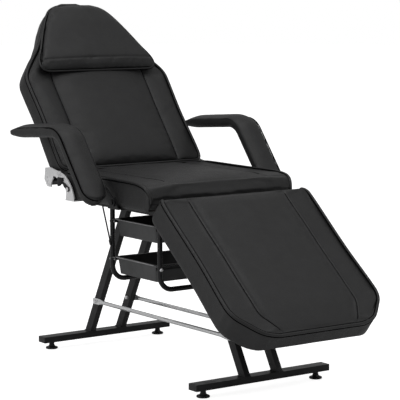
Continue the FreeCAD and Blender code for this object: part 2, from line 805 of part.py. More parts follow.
def backrest_parts():
    """Cushion, board, frame and bolts of the backrest."""
    parts = {}
    thickness = back_thickness
    shape = cushion(back_shares, 0, back_length, thickness)
    gap = board_clearance
    high = -thickness + board_thickness
    board = outline(back_shares, 0, back_length, board_inset, -thickness, high)
    pocket = outline(back_shares, 0, back_length, board_inset - gap, -2 * thickness, high + gap)
    half = frame_tube / 2
    low = -thickness - frame_tube
    rail_start = back_cross_along + half
    rail_end = rail_start + back_rail_length
    spots = bolt_spots(rail_start, rail_end)
    for side, name in ((-1, "left"), (1, "right")):
        x = side * back_rail_x
        rail = box_tube(x - half, x + half, rail_start, rail_end, low, -thickness, "y")
        for y in spots:
            hole = rod(board_bolt_radius + stud_clearance, Vector(x, y, low - overrun), z_axis,
                       frame_tube + board_thickness + overrun + gap)
            rail = rail.cut(hole)
            board = board.cut(hole)
        parts["back_rail_" + name] = back_place(rail)
    reach = sector_x
    cross = box_tube(-reach, reach, back_cross_along - half, back_cross_along + half, low, -thickness, "x")
    brace = back_rail_x - half
    upper = box_tube(-brace, brace, rail_end - frame_tube, rail_end, low, -thickness, "x")
    parts["back_cross_lower"] = back_place(cross)
    parts["back_cross_upper"] = back_place(upper)
    parts["backrest_board"] = back_place(board)
    parts["backrest_cushion"] = back_place(shape.cut(pocket))
    bolts = board_bolts(back_rail_x, spots, low, frame_tube + board_thickness)
    parts["back_frame_bolts"] = back_place(bolts)
    return parts


def pillow():
    """The head pillow: a tapered pad with a soft crowned face on the backrest's upper end."""
    low = crown * pillow_rest_share + pillow_gap
    sections = []
    for along, width, rise in pillow_shares:
        y = pillow_start + along * pillow_length
        half = width * pillow_width / 2
        edge = low + pillow_thickness * (pillow_edge_share + (1 - pillow_edge_share) * rise)
        top = edge + pillow_crown * rise
        shoulder = half - pillow_thickness / 2
        edges = [
            Part.Arc(Vector(-half, y, (low + edge) / 2), Vector(-half + side_bulge, y, edge - pillow_seam_drop),
                     Vector(-shoulder, y, edge)).toShape(),
            Part.Arc(Vector(-shoulder, y, edge), Vector(0, y, top), Vector(shoulder, y, edge)).toShape(),
            Part.Arc(Vector(shoulder, y, edge), Vector(half - side_bulge, y, edge - pillow_seam_drop),
                     Vector(half, y, (low + edge) / 2)).toShape(),
            Part.makeLine(Vector(half, y, (low + edge) / 2), Vector(half - side_bulge, y, low)),
            Part.makeLine(Vector(half - side_bulge, y, low), Vector(-half + side_bulge, y, low)),
            Part.makeLine(Vector(-half + side_bulge, y, low), Vector(-half, y, (low + edge) / 2)),
        ]
        sections.append(Part.Wire(edges))
    return back_place(Part.makeLoft(sections, True, True))


def footrest_parts():
    """Cushion, board, frame and bolts of the footrest, built along -Y from its hinge end."""
    parts = {}
    thickness = foot_thickness
    shape = cushion(foot_shares, 0, -foot_length, thickness)
    gap = board_clearance
    high = -thickness + board_thickness
    board = outline(foot_shares, 0, -foot_length, board_inset, -thickness, high)
    pocket = outline(foot_shares, 0, -foot_length, board_inset - gap, -2 * thickness, high + gap)
    half = frame_tube / 2
    low = -thickness - frame_tube
    lug_x = rail_x + half + lug_thickness + lug_gap
    x = lug_x + lug_thickness + half
    spots = bolt_spots(-foot_rail_start - foot_rail_length, -foot_rail_start)
    axis_along, axis_out = into_frame(foot_hinge_y, foot_hinge_z, foot_edge_y, foot_edge_z, foot_angle)
    top = -thickness
    lug = side_plate([(axis_along, axis_out + lug_radius),
                      ((axis_along + lug_radius, axis_out), (axis_along, axis_out - lug_radius)),
                      (axis_along - lug_root_length, low), (axis_along - 2 * lug_root_length, low),
                      (axis_along - 2 * lug_root_length, top),
                      (board_clearance, top)], lug_x, lug_thickness)
    lug = lug.cut(rod(foot_pin_radius + stud_clearance, Vector(lug_x - overrun, axis_along, axis_out), x_axis,
                      lug_thickness + 2 * overrun))
    for side, name in ((-1, "left"), (1, "right")):
        rail = box_tube(x - half, x + half, -foot_rail_start - foot_rail_length, -foot_rail_start, low,
                        -thickness, "y").fuse(lug)
        for y in spots:
            hole = rod(board_bolt_radius + stud_clearance, Vector(x, y, low - overrun), z_axis,
                       frame_tube + board_thickness + overrun + gap)
            rail = rail.cut(hole)
            board = board.cut(hole).cut(mirrored(hole))
        parts["foot_rail_" + name] = foot_place(rail if side > 0 else mirrored(rail))
    cross = box_tube(-x + half, x - half, -foot_cross_along - half, -foot_cross_along + half, low,
                     -thickness, "x")
    parts["foot_cross"] = foot_place(cross)
    parts["footrest_board"] = foot_place(board)
    parts["footrest_cushion"] = foot_place(shape.cut(pocket))
    parts["foot_frame_bolts"] = foot_place(board_bolts(x, spots, low, frame_tube + board_thickness))
    return parts


def footrest_pins():
    """The two pins of the footrest's hinge, headed at both ends."""
    pins = []
    for side in (-1, 1):
        inner = rail_x + frame_tube / 2
        reach = 2 * lug_thickness + lug_gap
        start = Vector(inner - foot_pin_head, foot_hinge_y, foot_hinge_z)
        pin = rod(foot_pin_radius, start, x_axis, reach + foot_pin_head + foot_pin_head)
        for x in (inner - foot_pin_head, inner + reach):
            pin = pin.fuse(rod(foot_pin_head_radius, Vector(x, foot_hinge_y, foot_hinge_z), x_axis,
                               foot_pin_head))
        pins.append(pin if side > 0 else mirrored(pin))
    return Part.makeCompound(pins)


def arm_line():
    """The armrest's seam line from its rear tip over the bend to its foot, as corner and arc points."""
    tip = Vector(0, arm_rear_y, arm_rear_z)
    bend = Vector(0, arm_bend_y, arm_bend_z)
    foot = Vector(0, arm_foot_y, arm_foot_z)
    back = (tip - bend).normalize()
    down = (foot - bend).normalize()
    half_turn = back.getAngle(down) / 2
    run = arm_bend_radius / math.tan(half_turn)
    centre = bend + (back + down).normalize() * (arm_bend_radius / math.sin(half_turn))
    middle = centre + (bend - centre).normalize() * arm_bend_radius
    return tip, bend + back * run, middle, bend + down * run, foot, centre


def arm_band(over, under, x_low, x_high, from_tip=0, to_foot=0):
    """A bent band between two offsets below the seam line, extruded across the arm."""
    tip, bend_start, middle, bend_end, foot, centre = arm_line()
    back = (tip - bend_start).normalize()
    down = (foot - bend_end).normalize()
    normal_back = Vector(0, back.z, -back.y)
    normal_down = Vector(0, -down.z, down.y)
    if normal_back.z > 0:
        normal_back = -normal_back
    if normal_down.z > 0:
        normal_down = -normal_down
    tip = tip - back * from_tip
    foot = foot - down * to_foot

    def ring(offset):
        inward = (centre - middle).normalize()
        return (tip + normal_back * offset, bend_start + normal_back * offset, middle + inward * offset,
                bend_end + normal_down * offset, foot + normal_down * offset)

    a = ring(over)
    b = ring(under)
    edges = [Part.makeLine(a[0], a[1]), Part.Arc(a[1], a[2], a[3]).toShape(), Part.makeLine(a[3], a[4]),
             Part.makeLine(a[4], b[4]), Part.makeLine(b[4], b[3]), Part.Arc(b[3], b[2], b[1]).toShape(),
             Part.makeLine(b[1], b[0]), Part.makeLine(b[0], a[0])]
    face = Part.Face(Part.Wire(edges))
    face.translate(Vector(x_low, 0, 0))
    return face.extrude(Vector(x_high - x_low, 0, 0))


def arm_pad(side):
    """The padded armrest: one crowned section swept along the bent seam line, with half-round ends."""
    x_low = arm_inner_x
    x_high = arm_inner_x + arm_width
    tip, bend_start, middle, bend_end, foot, centre = arm_line()
    back = (tip - bend_start).normalize()
    down = Vector(0, back.z, -back.y)

    def spot(x, depth):
        return tip + down * depth + Vector(x, 0, 0)

    mid_x = (x_low + x_high) / 2
    drawn = arm_side_bulge
    section = Part.Wire([
        Part.Arc(spot(x_low + drawn, 0), spot(mid_x, -arm_crown), spot(x_high - drawn, 0)).toShape(),
        Part.Arc(spot(x_high - drawn, 0), spot(x_high, arm_thickness / 2),
                 spot(x_high - drawn, arm_thickness)).toShape(),
        Part.makeLine(spot(x_high - drawn, arm_thickness), spot(x_low + drawn, arm_thickness)),
        Part.Arc(spot(x_low + drawn, arm_thickness), spot(x_low, arm_thickness / 2),
                 spot(x_low + drawn, 0)).toShape(),
    ])
    path = Part.Wire([Part.makeLine(tip, bend_start), Part.Arc(bend_start, middle, bend_end).toShape(),
                      Part.makeLine(bend_end, foot)])
    pad = path.makePipeShell([section], True, False)
    pad = pad.cut(arm_steel(board_clearance, overrun))
    radius = arm_width / 2
    for end, inner in ((tip, bend_start), (foot, bend_end)):
        outward = (end - inner).normalize()
        normal = Vector(0, outward.z, -outward.y)
        hub = end - outward * radius - normal * (2 * arm_width)
        hub.x = mid_x
        keep = rod(radius, hub, normal, 4 * arm_width)
        corner = Part.makeBox(arm_width + 2 * overrun, 4 * arm_width, radius + overrun)
        corner.Placement = Placement(Vector(x_low - overrun, hub.y, hub.z), Rotation(
            x_axis, normal, outward, "XYZ"))
        pad = pad.cut(corner.cut(keep))
    return pad if side > 0 else mirrored(pad)


def arm_steel(play, below):
    """The bent bar and its tab, let into the pad's underside, grown by some play."""
    mid_x = arm_inner_x + arm_width / 2
    high = arm_thickness - arm_bar_thickness - play
    half = arm_bar_width / 2 + play
    bar = arm_band(high, arm_thickness + below, mid_x - half, mid_x + half,
                   arm_rear_y - arm_bar_reach - play, arm_bar_foot - play)
    root, up, normal = arm_root()
    tab = Part.makeBox(mid_x - arm_lug_x + 2 * play, arm_tab_length + 2 * play,
                       arm_bar_thickness + play + below)
    start = root - up * play + normal * below
    tab.Placement = Placement(Vector(arm_lug_x - play, start.y, start.z), Rotation(x_axis, up, normal, "XYZ"))
    return bar.fuse(tab)


def arm_root():
    """The bar's lower end on the pad's underside, with the leg's upward and outward directions."""
    tip, bend_start, middle, bend_end, foot, centre = arm_line()
    up = (bend_end - foot).normalize()
    normal = Vector(0, up.z, -up.y)
    if normal.z > 0:
        normal = -normal
    return foot + up * arm_bar_foot + normal * arm_thickness, up, normal


def arm_bracket(side):
    """A bent flat bar with a tab and the welded lug that turns on the side pivot."""
    root, up, normal = arm_root()
    pivot = Vector(0, arm_pivot_y, arm_pivot_z)
    heel = root + up * (arm_tab_length / 2) - normal * (arm_bar_thickness / 2)
    eye = rod(arm_eye_radius, Vector(arm_lug_x, pivot.y, pivot.z), x_axis, arm_lug_thickness)
    end = rod(arm_tab_length / 2, Vector(arm_lug_x, heel.y, heel.z), x_axis, arm_lug_thickness)
    reach = heel - pivot
    web = block(arm_lug_x, arm_lug_x + arm_lug_thickness, 0, reach.Length, -arm_eye_radius, arm_eye_radius)
    web.Placement = Placement(Vector(0, pivot.y, pivot.z), Rotation(
        x_axis, math.degrees(math.atan2(reach.z, reach.y))))
    bracket = joined([arm_steel(0, 0), eye, end, web])
    bracket = bracket.cut(rod(arm_pin_radius + stud_clearance, Vector(arm_lug_x - overrun, pivot.y, pivot.z),
                              x_axis, arm_lug_thickness + 2 * overrun))
    return bracket if side > 0 else mirrored(bracket)


def arm_mount(side):
    """The fixed plate that carries the armrest's pivot, turned in under the seat board."""
    y = arm_pivot_y
    z = arm_pivot_z
    low = seat_bottom_z - hinge_plate
    plate = side_plate([(y - arm_mount_front, low), (y - arm_eye_radius, z),
                        ((y, z + arm_eye_radius), (y + arm_eye_radius, z)), (y + arm_mount_rear, low)],
                       plate_x, hinge_plate)
    plate = plate.cut(rod(arm_pin_radius + stud_clearance, Vector(plate_x - overrun, y, z), x_axis,
                          hinge_plate + 2 * overrun))
    plate = with_flange(plate, y - arm_mount_front, y + arm_mount_rear)
    return plate if side > 0 else mirrored(plate)


def arm_pins():
    """Headed pins of the two armrest pivots."""
    pins = []
    for side in (-1, 1):
        reach = hinge_plate + arm_lug_gap + arm_lug_thickness
        pin = rod(arm_pin_radius, Vector(plate_x, arm_pivot_y, arm_pivot_z), x_axis, reach + board_clearance)
        cap = hexagon(arm_pin_head_radius, Vector(plate_x + reach + board_clearance, arm_pivot_y,
                                                   arm_pivot_z), x_axis, foot_pin_head)
        pin = pin.fuse(cap)
        pins.append(pin if side > 0 else mirrored(pin))
    return Part.makeCompound(pins)


def hoop(y):
    """A round tube bent to a U that hangs from the seat rails."""

    def pipe(radius):
        low = hoop_bottom_z
        bend = hoop_bend
        share = 1 / math.sqrt(2)
        x = hoop_x
        top = frame_bottom_z
        wire = Part.Wire([
            Part.makeLine(Vector(-x, y, top), Vector(-x, y, low + bend)),
            Part.Arc(Vector(-x, y, low + bend), Vector(-x + bend - bend * share, y, low + bend - bend * share),
                     Vector(-x + bend, y, low)).toShape(),
            Part.makeLine(Vector(-x + bend, y, low), Vector(x - bend, y, low)),
            Part.Arc(Vector(x - bend, y, low), Vector(x - bend + bend * share, y, low + bend - bend * share),
                     Vector(x, y, low + bend)).toShape(),
            Part.makeLine(Vector(x, y, low + bend), Vector(x, y, top)),
        ])
        ring = Part.Wire(Part.makeCircle(radius, Vector(-x, y, top), z_axis))
        return wire.makePipeShell([ring], True, False)

    tube = pipe(hoop_radius).cut(pipe(hoop_radius - tube_wall))
    for x, z in runner_bolt_spots():
        tube = tube.cut(rod(runner_bolt_radius + stud_clearance, Vector(x, y - 2 * hoop_radius, z), y_axis,
                            4 * hoop_radius))
    return tube


def runner_bolt_spots():
    """Where the runners are bolted through the hoops."""
    drop = tray_rim_thickness + runner_wall + runner_leg / 2
    return [(side * hoop_x, rim - drop) for rim in (upper_rim_z, lower_rim_z) for side in (-1, 1)]


def runner_face(end):
    """The inner face of a hoop, where its runners are bolted."""
    return hoop_rear_y - hoop_radius if end > 0 else hoop_front_y + hoop_radius


def runners():
    """Four angle runners, two for each tray, bolted inside the hoops."""
    rails = []
    half = hoop_x + hoop_radius
    for rim in (upper_rim_z, lower_rim_z):
        for end in (-1, 1):
            face = runner_face(end)
            top = rim - tray_rim_thickness - slide_clearance
            web = block(-half, half, min(face, face - end * runner_wall), max(face, face - end * runner_wall),
                        top - runner_leg, top)
            ledge = block(-half, half, min(face, face - end * runner_leg), max(face, face - end * runner_leg),
                          top - runner_wall, top)
            rail = web.fuse(ledge).removeSplitter()
            for x, z in runner_bolt_spots():
                rail = rail.cut(rod(runner_bolt_radius + stud_clearance, Vector(x, face - hoop_radius, z),
                                    y_axis, 2 * hoop_radius))
            rails.append(rail)
    return Part.makeCompound(rails)


def runner_bolts():
    """Eight bolts through the hoops and the runners, headed outside and riveted inside."""
    bolts = []
    for end in (-1, 1):
        outer = runner_face(end) + end * 2 * hoop_radius
        for x, z in runner_bolt_spots():
            direction = Vector(0, -end, 0)
            bolts.append(round_bolt(Vector(x, outer, z), direction, runner_bolt_radius,
                                    2 * hoop_radius + runner_wall + tray_rim_thickness / 2,
                                    runner_bolt_head_radius, runner_bolt_head))
    return Part.makeCompound(bolts)


def tray(rim_z):
    """A moulded tray: tapered walls, rounded corners and a rim that rides on the runners."""
    middle = (hoop_rear_y + hoop_front_y) / 2
    inner_space = hoop_rear_y - hoop_front_y - 2 * hoop_radius - 2 * runner_wall - 2 * tray_play

    def ring(width, length, corner, z):
        flat = Part.makePlane(length, width, Vector(-length / 2, middle - width / 2, z))
        solid = flat.extrude(Vector(0, 0, 1))
        upright = [e for e in solid.Edges if abs(e.Vertexes[0].Z - e.Vertexes[-1].Z) > board_clearance]
        solid = solid.makeFillet(corner, upright)
        return [f for f in solid.Faces if abs(f.CenterOfMass.z - z) < slide_clearance][0].OuterWire

    def tub(shrink, low, high):
        width = tray_body_width - 2 * shrink
        length = tray_length - 2 * shrink
        narrow = 2 * tray_taper
        corner = tray_corner - shrink
        return Part.makeLoft([ring(width - narrow, length - narrow, corner, low),
                              ring(width, length, corner, high)], True, True)

    low = rim_z - tray_depth
    body = tub(0, low, rim_z)
    flat = ring(inner_space, tray_length + 2 * tray_taper, tray_corner, rim_z - tray_rim_thickness)
    rim = Part.Face(flat).extrude(Vector(0, 0, tray_rim_thickness))
    shape = joined([body, rim])
    hollow = tub(tray_wall, low + tray_wall, rim_z + tray_wall)
    return shape.cut(hollow)


def release_lever():
    """A hub on the left rail with a thin rod that hangs down to its grip."""
    x_face = -(rail_x + frame_tube / 2)
    z = frame_mid_z
    x_rod = x_face - lever_offset
    shaft = rod(lever_shaft_radius, Vector(x_rod, lever_y, z), x_axis, lever_offset + frame_tube + lever_inside)
    hub = rod(lever_hub_radius, Vector(x_rod - lever_hub_cover, lever_y, z), x_axis,
              lever_offset + lever_hub_cover - lug_gap)
    start = Vector(x_rod, lever_y, z)
    line = Vector(0, lever_reach_y, -lever_drop)
    length = line.Length
    direction = Vector(line).normalize()
    wire = rod(lever_rod_radius, start, direction, length)
    lever = joined([shaft, hub, wire])
    grip = rod(grip_radius, start + direction * (length - grip_hold), direction, grip_length)
    grip = grip.makeFillet(grip_radius / 2, [e for e in grip.Edges if e.Curve.TypeId == "Part::GeomCircle"])
    grip = grip.cut(rod(lever_rod_radius + stud_clearance, start, direction, length + stud_clearance))
    return lever, grip


def build():
    """Every node of the chair by name."""
    nodes = {}
    nodes.update(base_tubes())
    nodes["base_end_caps"] = end_caps()
    for end, end_name in ((-1, "front"), (1, "rear")):
        for side, side_name in ((-1, "left"), (1, "right")):
            nodes["levelling_foot_" + end_name + "_" + side_name] = levelling_foot(side, end)
            nodes["leg_" + end_name + "_" + side_name] = leg(side, end)
    for side, name in ((-1, "left"), (1, "right")):
        nodes["tie_bar_" + name] = tie_bar(side)
        nodes["seat_rail_" + name] = seat_rail(side)
        nodes["back_hinge_arch_" + name] = hinge_arch(side)
        nodes["ratchet_sector_" + name] = ratchet_sector(side)
        nodes["pawl_" + name] = pawl(side)
        nodes["armrest_pad_" + name] = arm_pad(side)
        nodes["armrest_bracket_" + name] = arm_bracket(side)
        nodes["arm_mount_plate_" + name] = arm_mount(side)
    nodes["tie_bar_bolts"] = tie_bar_bolts()
    nodes["seat_cross_front"] = seat_cross(front_leg_top_y)
    nodes["seat_cross_rear"] = seat_cross(rear_leg_top_y)
    nodes["seat_cushion"], nodes["seat_board"] = seat_padding()
    nodes["seat_frame_bolts"] = board_bolts(rail_x, bolt_spots(rail_front_y, rail_rear_y), frame_bottom_z,
                                            frame_tube + board_thickness)
    nodes["seat_flange_screws"] = flange_screws()
    nodes["back_hinge_pins"] = hinge_pins()
    nodes["sector_bolts"] = sector_bolts()
    nodes["arm_pivot_pins"] = arm_pins()
    nodes["footrest_hinge_pins"] = footrest_pins()
    nodes.update(backrest_parts())
    nodes["head_pillow"] = pillow()
    nodes.update(footrest_parts())
    nodes["tray_hoop_front"] = hoop(hoop_front_y)
    nodes["tray_hoop_rear"] = hoop(hoop_rear_y)
    nodes["tray_runners"] = runners()
    nodes["tray_runner_bolts"] = runner_bolts()
    nodes["tray_upper"] = tray(upper_rim_z)
    nodes["tray_lower"] = tray(lower_rim_z)
    nodes["release_lever"], nodes["release_grip"] = release_lever()
    return nodes


os.makedirs("parts", exist_ok=True)
whole = []
for node, solid in sorted(build().items()):
    solid.translate(Vector(0, -middle_y, 0))
    solid.exportStep("parts/" + node + ".step")
    whole.append(solid)
    print(node, len(solid.Solids), "solids", "valid" if solid.isValid() else "NOT VALID", round(solid.Volume))
box = Part.makeCompound(whole).BoundBox
print("nodes", len(whole), "x", box.XMin, box.XMax, "y", box.YMin, box.YMax, "z", box.ZMin, box.ZMax)
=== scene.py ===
"""The looks of a reclining tattoo chair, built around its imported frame."""

import json
import logging
import math
from dataclasses import dataclass
from enum import Enum
from typing import Callable, Iterable, Sequence

import bmesh
import bpy
from bmesh.types import BMEdge, BMesh, BMVert
from bpy.types import ID, Material, Mesh, Node, NodeSocket, NodeTree, Object
from mathutils import Matrix, Vector, noise
from mathutils.bvhtree import BVHTree


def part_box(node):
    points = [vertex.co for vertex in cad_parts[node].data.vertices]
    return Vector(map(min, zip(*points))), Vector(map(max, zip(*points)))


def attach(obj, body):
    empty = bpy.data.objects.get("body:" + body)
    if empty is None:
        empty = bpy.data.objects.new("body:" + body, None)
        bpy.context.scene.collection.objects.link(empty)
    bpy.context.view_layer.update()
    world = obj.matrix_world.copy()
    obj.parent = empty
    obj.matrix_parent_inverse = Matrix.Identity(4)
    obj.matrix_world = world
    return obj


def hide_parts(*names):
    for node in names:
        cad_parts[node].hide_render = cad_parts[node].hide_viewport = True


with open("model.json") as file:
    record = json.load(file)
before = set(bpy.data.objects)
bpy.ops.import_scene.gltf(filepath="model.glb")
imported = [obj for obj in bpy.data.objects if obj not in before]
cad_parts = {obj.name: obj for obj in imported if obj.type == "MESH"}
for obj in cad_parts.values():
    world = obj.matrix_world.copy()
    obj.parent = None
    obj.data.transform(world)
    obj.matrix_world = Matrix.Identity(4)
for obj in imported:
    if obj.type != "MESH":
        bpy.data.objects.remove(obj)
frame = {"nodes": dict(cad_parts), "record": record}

log = logging.getLogger("chair")

SHIFT_Y = 0.01195
HALF_WIDTH = 0.278
CROWN = 0.012
CHANNEL_X = 0.181
CHANNEL_LIMIT = 0.655
BOARD_INSET = 0.009
BOARD_THICKNESS = 0.012
SEAM_Z = 0.617
BACK_EDGE_Y = 0.248
BACK_ANGLE = 52.1
MERGE = 1e-5
NEAR = 1e-6

Colour = tuple[float, float, float]
Shares = tuple[tuple[float, ...], ...]


class Slot(Enum):
    """The record's material slots."""

    UPHOLSTERY = "black_upholstery"
    BOARD = "board"
    FRAME = "black_frame"
    CHROME = "chrome"
    PLATED = "plated_steel"
    TRAY = "tray_plastic"
    PLASTIC = "black_plastic"


# ---------------------------------------------------------------- shading


class Graph:
    """A node tree with short calls for adding and joining nodes."""

    def __init__(self, tree: NodeTree) -> None:
        """Keeps the material's or group's tree that nodes go into."""
        self.tree = tree

    def add(self, kind: str, inputs: dict | None = None, **settings: object) -> Node:
        """Adds a node.

        Args:
            kind: The node's type name without "ShaderNode".
            inputs: Socket name or number to a value or a socket to join.
            settings: Properties of the node itself.

        Returns:
            The new node.
        """
        node = self.tree.nodes.new("ShaderNode" + kind)
        for name, value in settings.items():
            setattr(node, name, value)
        self.feed(node, inputs or {})
        return node

    def feed(self, node: Node, inputs: dict) -> None:
        """Sets or joins a node's inputs.

        Args:
            node: The node to feed.
            inputs: Socket name or number to a value or a socket.
        """
        for key, value in inputs.items():
            socket = node.inputs[key]
            if isinstance(value, NodeSocket):
                self.tree.links.new(value, socket)
            else:
                socket.default_value = value

    def use(self, group: NodeTree, inputs: dict) -> Node:
        """Places a node group with its own values.

        Args:
            group: The shared group.
            inputs: Its inputs by name.

        Returns:
            The group's node.
        """
        node = self.tree.nodes.new("ShaderNodeGroup")
        node.node_tree = group
        self.feed(node, inputs)
        return node

    def math(self, operation: str, *values: object) -> NodeSocket:
        """Joins one to three numbers or sockets by a Math node and returns its output."""
        return self.add("Math", dict(enumerate(values)), operation=operation).outputs[0]

    def between(self, factor: NodeSocket, low: Colour | NodeSocket,
                high: Colour | NodeSocket) -> NodeSocket:
        """Mixes two colours by a mask.

        Args:
            factor: The mask, from 0 to 1.
            low: The colour at 0.
            high: The colour at 1.

        Returns:
            The mixed colour.
        """
        tones = [tone if isinstance(tone, NodeSocket) else (*tone, 1.0) for tone in (low, high)]
        return self.add("Mix", {0: factor, 6: tones[0], 7: tones[1]}, data_type="RGBA").outputs[2]

    def ranged(self, value: NodeSocket, start: object, end: object, low: object = 0.0,
               high: object = 1.0) -> NodeSocket:
        """Maps a value smoothly from one range to another.

        Args:
            value: The socket to map.
            start: Where the source range begins, a number or a socket like the next three.
            end: Where it ends.
            low: The result at its start.
            high: The result at its end.

        Returns:
            The mapped value.
        """
        inputs = {0: value, 1: start, 2: end, 3: low, 4: high}
        return self.add("MapRange", inputs, interpolation_type="SMOOTHSTEP").outputs[0]


def group_tree(name: str, inputs: dict[str, float], outputs: Sequence[str]) -> tuple[Graph, dict, Node]:
    """Makes an empty shader group with a Vector input and named float sockets.

    Args:
        name: The group's name.
        inputs: The name and default of each float input.
        outputs: The names of its float outputs.

    Returns:
        The group's graph, its input sockets by name and its output node.
    """
    tree = bpy.data.node_groups.new(name, "ShaderNodeTree")
    tree.interface.new_socket("Vector", in_out="INPUT", socket_type="NodeSocketVector")
    for label, value in inputs.items():
        socket = tree.interface.new_socket(label, in_out="INPUT", socket_type="NodeSocketFloat")
        socket.default_value = value
    for label in outputs:
        tree.interface.new_socket(label, in_out="OUTPUT", socket_type="NodeSocketFloat")
    given = tree.nodes.new("NodeGroupInput")
    sockets = {label: given.outputs[label] for label in ("Vector", *inputs)}
    return Graph(tree), sockets, tree.nodes.new("NodeGroupOutput")


class SharedEffects:
    """The shader groups that several finishes place with their own values."""

    def __init__(self) -> None:
        """Builds each group once."""
        self.mottle = self._mottle()
        self.pebble = self._pebble()
        self.wear = self._wear()
        self.brushed = self._brushed()

    @staticmethod
    def _mottle() -> NodeTree:
        """A soft, uneven value between a low and a high."""
        graph, given, result = group_tree("soft_mottle", {"Scale": 12.0, "Low": 0.0, "High": 1.0}, ["Value"])
        cloud = graph.add("TexNoise", {"Vector": given["Vector"], "Scale": given["Scale"], "Detail": 4.0,
                                       "Roughness": 0.55})
        spread = graph.ranged(cloud.outputs[0], 0.32, 0.68, given["Low"], given["High"])
        graph.feed(result, {"Value": spread})
        return graph.tree

    @staticmethod
    def _pebble() -> NodeTree:
        """The raised cells of a leather grain, with fine pores between them."""
        graph, given, result = group_tree("leather_pebble", {"Scale": 650.0}, ["Height", "Valley"])
        place, scale = given["Vector"], given["Scale"]
        bend = graph.add("TexNoise", {"Vector": place, "Scale": graph.math("MULTIPLY", scale, 0.4),
                                      "Detail": 2.0})
        strength = graph.math("DIVIDE", 0.9, scale)
        offset = graph.add("VectorMath", {0: bend.outputs[1], "Scale": strength}, operation="SCALE")
        moved = graph.add("VectorMath", {0: place, 1: offset.outputs[0]}, operation="ADD")
        cells = graph.add("TexVoronoi", {"Vector": moved.outputs[0], "Scale": scale},
                          feature="DISTANCE_TO_EDGE")
        plump = graph.ranged(cells.outputs["Distance"], 0.0, 0.28)
        pores = graph.add("TexNoise", {"Vector": place, "Scale": graph.math("MULTIPLY", scale, 3.2),
                                       "Detail": 3.0})
        height = graph.math("ADD", graph.math("MULTIPLY", plump, 0.8),
                            graph.math("MULTIPLY", pores.outputs[0], 0.35))
        graph.feed(result, {"Height": height, "Valley": graph.math("SUBTRACT", 1.0, plump)})
        return graph.tree

    @staticmethod
    def _wear() -> NodeTree:
        """Where paint or plating has rubbed thin: broken patches along marked edges."""
        graph, given, result = group_tree("edge_wear", {"Edge": 0.0, "Scale": 60.0, "Amount": 0.4}, ["Mask"])
        cloud = graph.add("TexNoise", {"Vector": given["Vector"], "Scale": given["Scale"], "Detail": 6.0,
                                       "Roughness": 0.7})
        start = graph.math("SUBTRACT", 0.78, graph.math("MULTIPLY", given["Amount"], 0.4))
        gate = graph.ranged(cloud.outputs[0], start, graph.math("ADD", start, 0.12))
        graph.feed(result, {"Mask": graph.math("MULTIPLY", gate, given["Edge"])})
        return graph.tree

    @staticmethod
    def _brushed() -> NodeTree:
        """Fine drawn lines along one direction, for rolled and polished metal."""
        graph, given, result = group_tree("drawn_lines", {"Scale": 400.0, "Stretch": 0.04}, ["Value"])
        part = graph.add("SeparateXYZ", {0: given["Vector"]})
        drawn = graph.math("MULTIPLY", part.outputs[1], given["Stretch"])
        joined = graph.add("CombineXYZ", {0: part.outputs[0], 1: drawn, 2: part.outputs[2]})
        lines = graph.add("TexNoise", {"Vector": joined.outputs[0], "Scale": given["Scale"], "Detail": 3.0})
        graph.feed(result, {"Value": lines.outputs[0]})
        return graph.tree


EFFECTS = SharedEffects()


@dataclass(frozen=True)
class Finish:
    """What every finish has: a name, the record's slot, two tones and a roughness range."""

    name: str
    slot: Slot
    dark: Colour
    light: Colour
    smooth: float
    rough: float
    metallic: float = 0.0
    tone_scale: float = 9.0
    specular: float = 0.5
    patch_share: float = 3.1

    def material(self) -> Material:
        """Gives the finish's node material, made at its first use."""
        known = bpy.data.materials.get(self.name)
        if known:
            return known
        made = bpy.data.materials.new(self.name)
        made.use_nodes = True
        graph = Graph(made.node_tree)
        shader = made.node_tree.nodes["Principled BSDF"]
        place = graph.add("TexCoord").outputs["Object"]
        tone = graph.use(EFFECTS.mottle, {"Vector": place, "Scale": self.tone_scale}).outputs[0]
        patch = graph.use(EFFECTS.mottle, {"Vector": place, "Scale": self.tone_scale * self.patch_share,
                                           "Low": self.smooth, "High": self.rough}).outputs[0]
        graph.feed(shader, {"Metallic": self.metallic, "Specular IOR Level": self.specular,
                            "Base Color": graph.between(tone, self.dark, self.light), "Roughness": patch})
        self.dress(graph, shader, place, tone, patch)
        return made

    def dress(self, graph: Graph, shader: Node, place: NodeSocket, tone: NodeSocket,
              patch: NodeSocket) -> None:
        """Adds what sets this finish apart; the plain one adds nothing.

        Args:
            graph: The material's graph.
            shader: Its shader.
            place: The object's own coordinates.
            tone: The mask between the two tones.
            patch: The uneven roughness.
        """


def bumped(graph: Graph, shader: Node, layers: Iterable[tuple[NodeSocket, float, float]]) -> None:
    """Stacks bump layers on a shader's normal.

    Args:
        graph: The material's graph.
        shader: The shader to feed.
        layers: Height socket, strength and distance in metres of each layer.
    """
    below = {}
    for height, strength, distance in layers:
        bump = graph.add("Bump", {"Height": height, "Strength": strength, "Distance": distance, **below})
        below = {"Normal": bump.outputs[0]}
    graph.feed(shader, below)


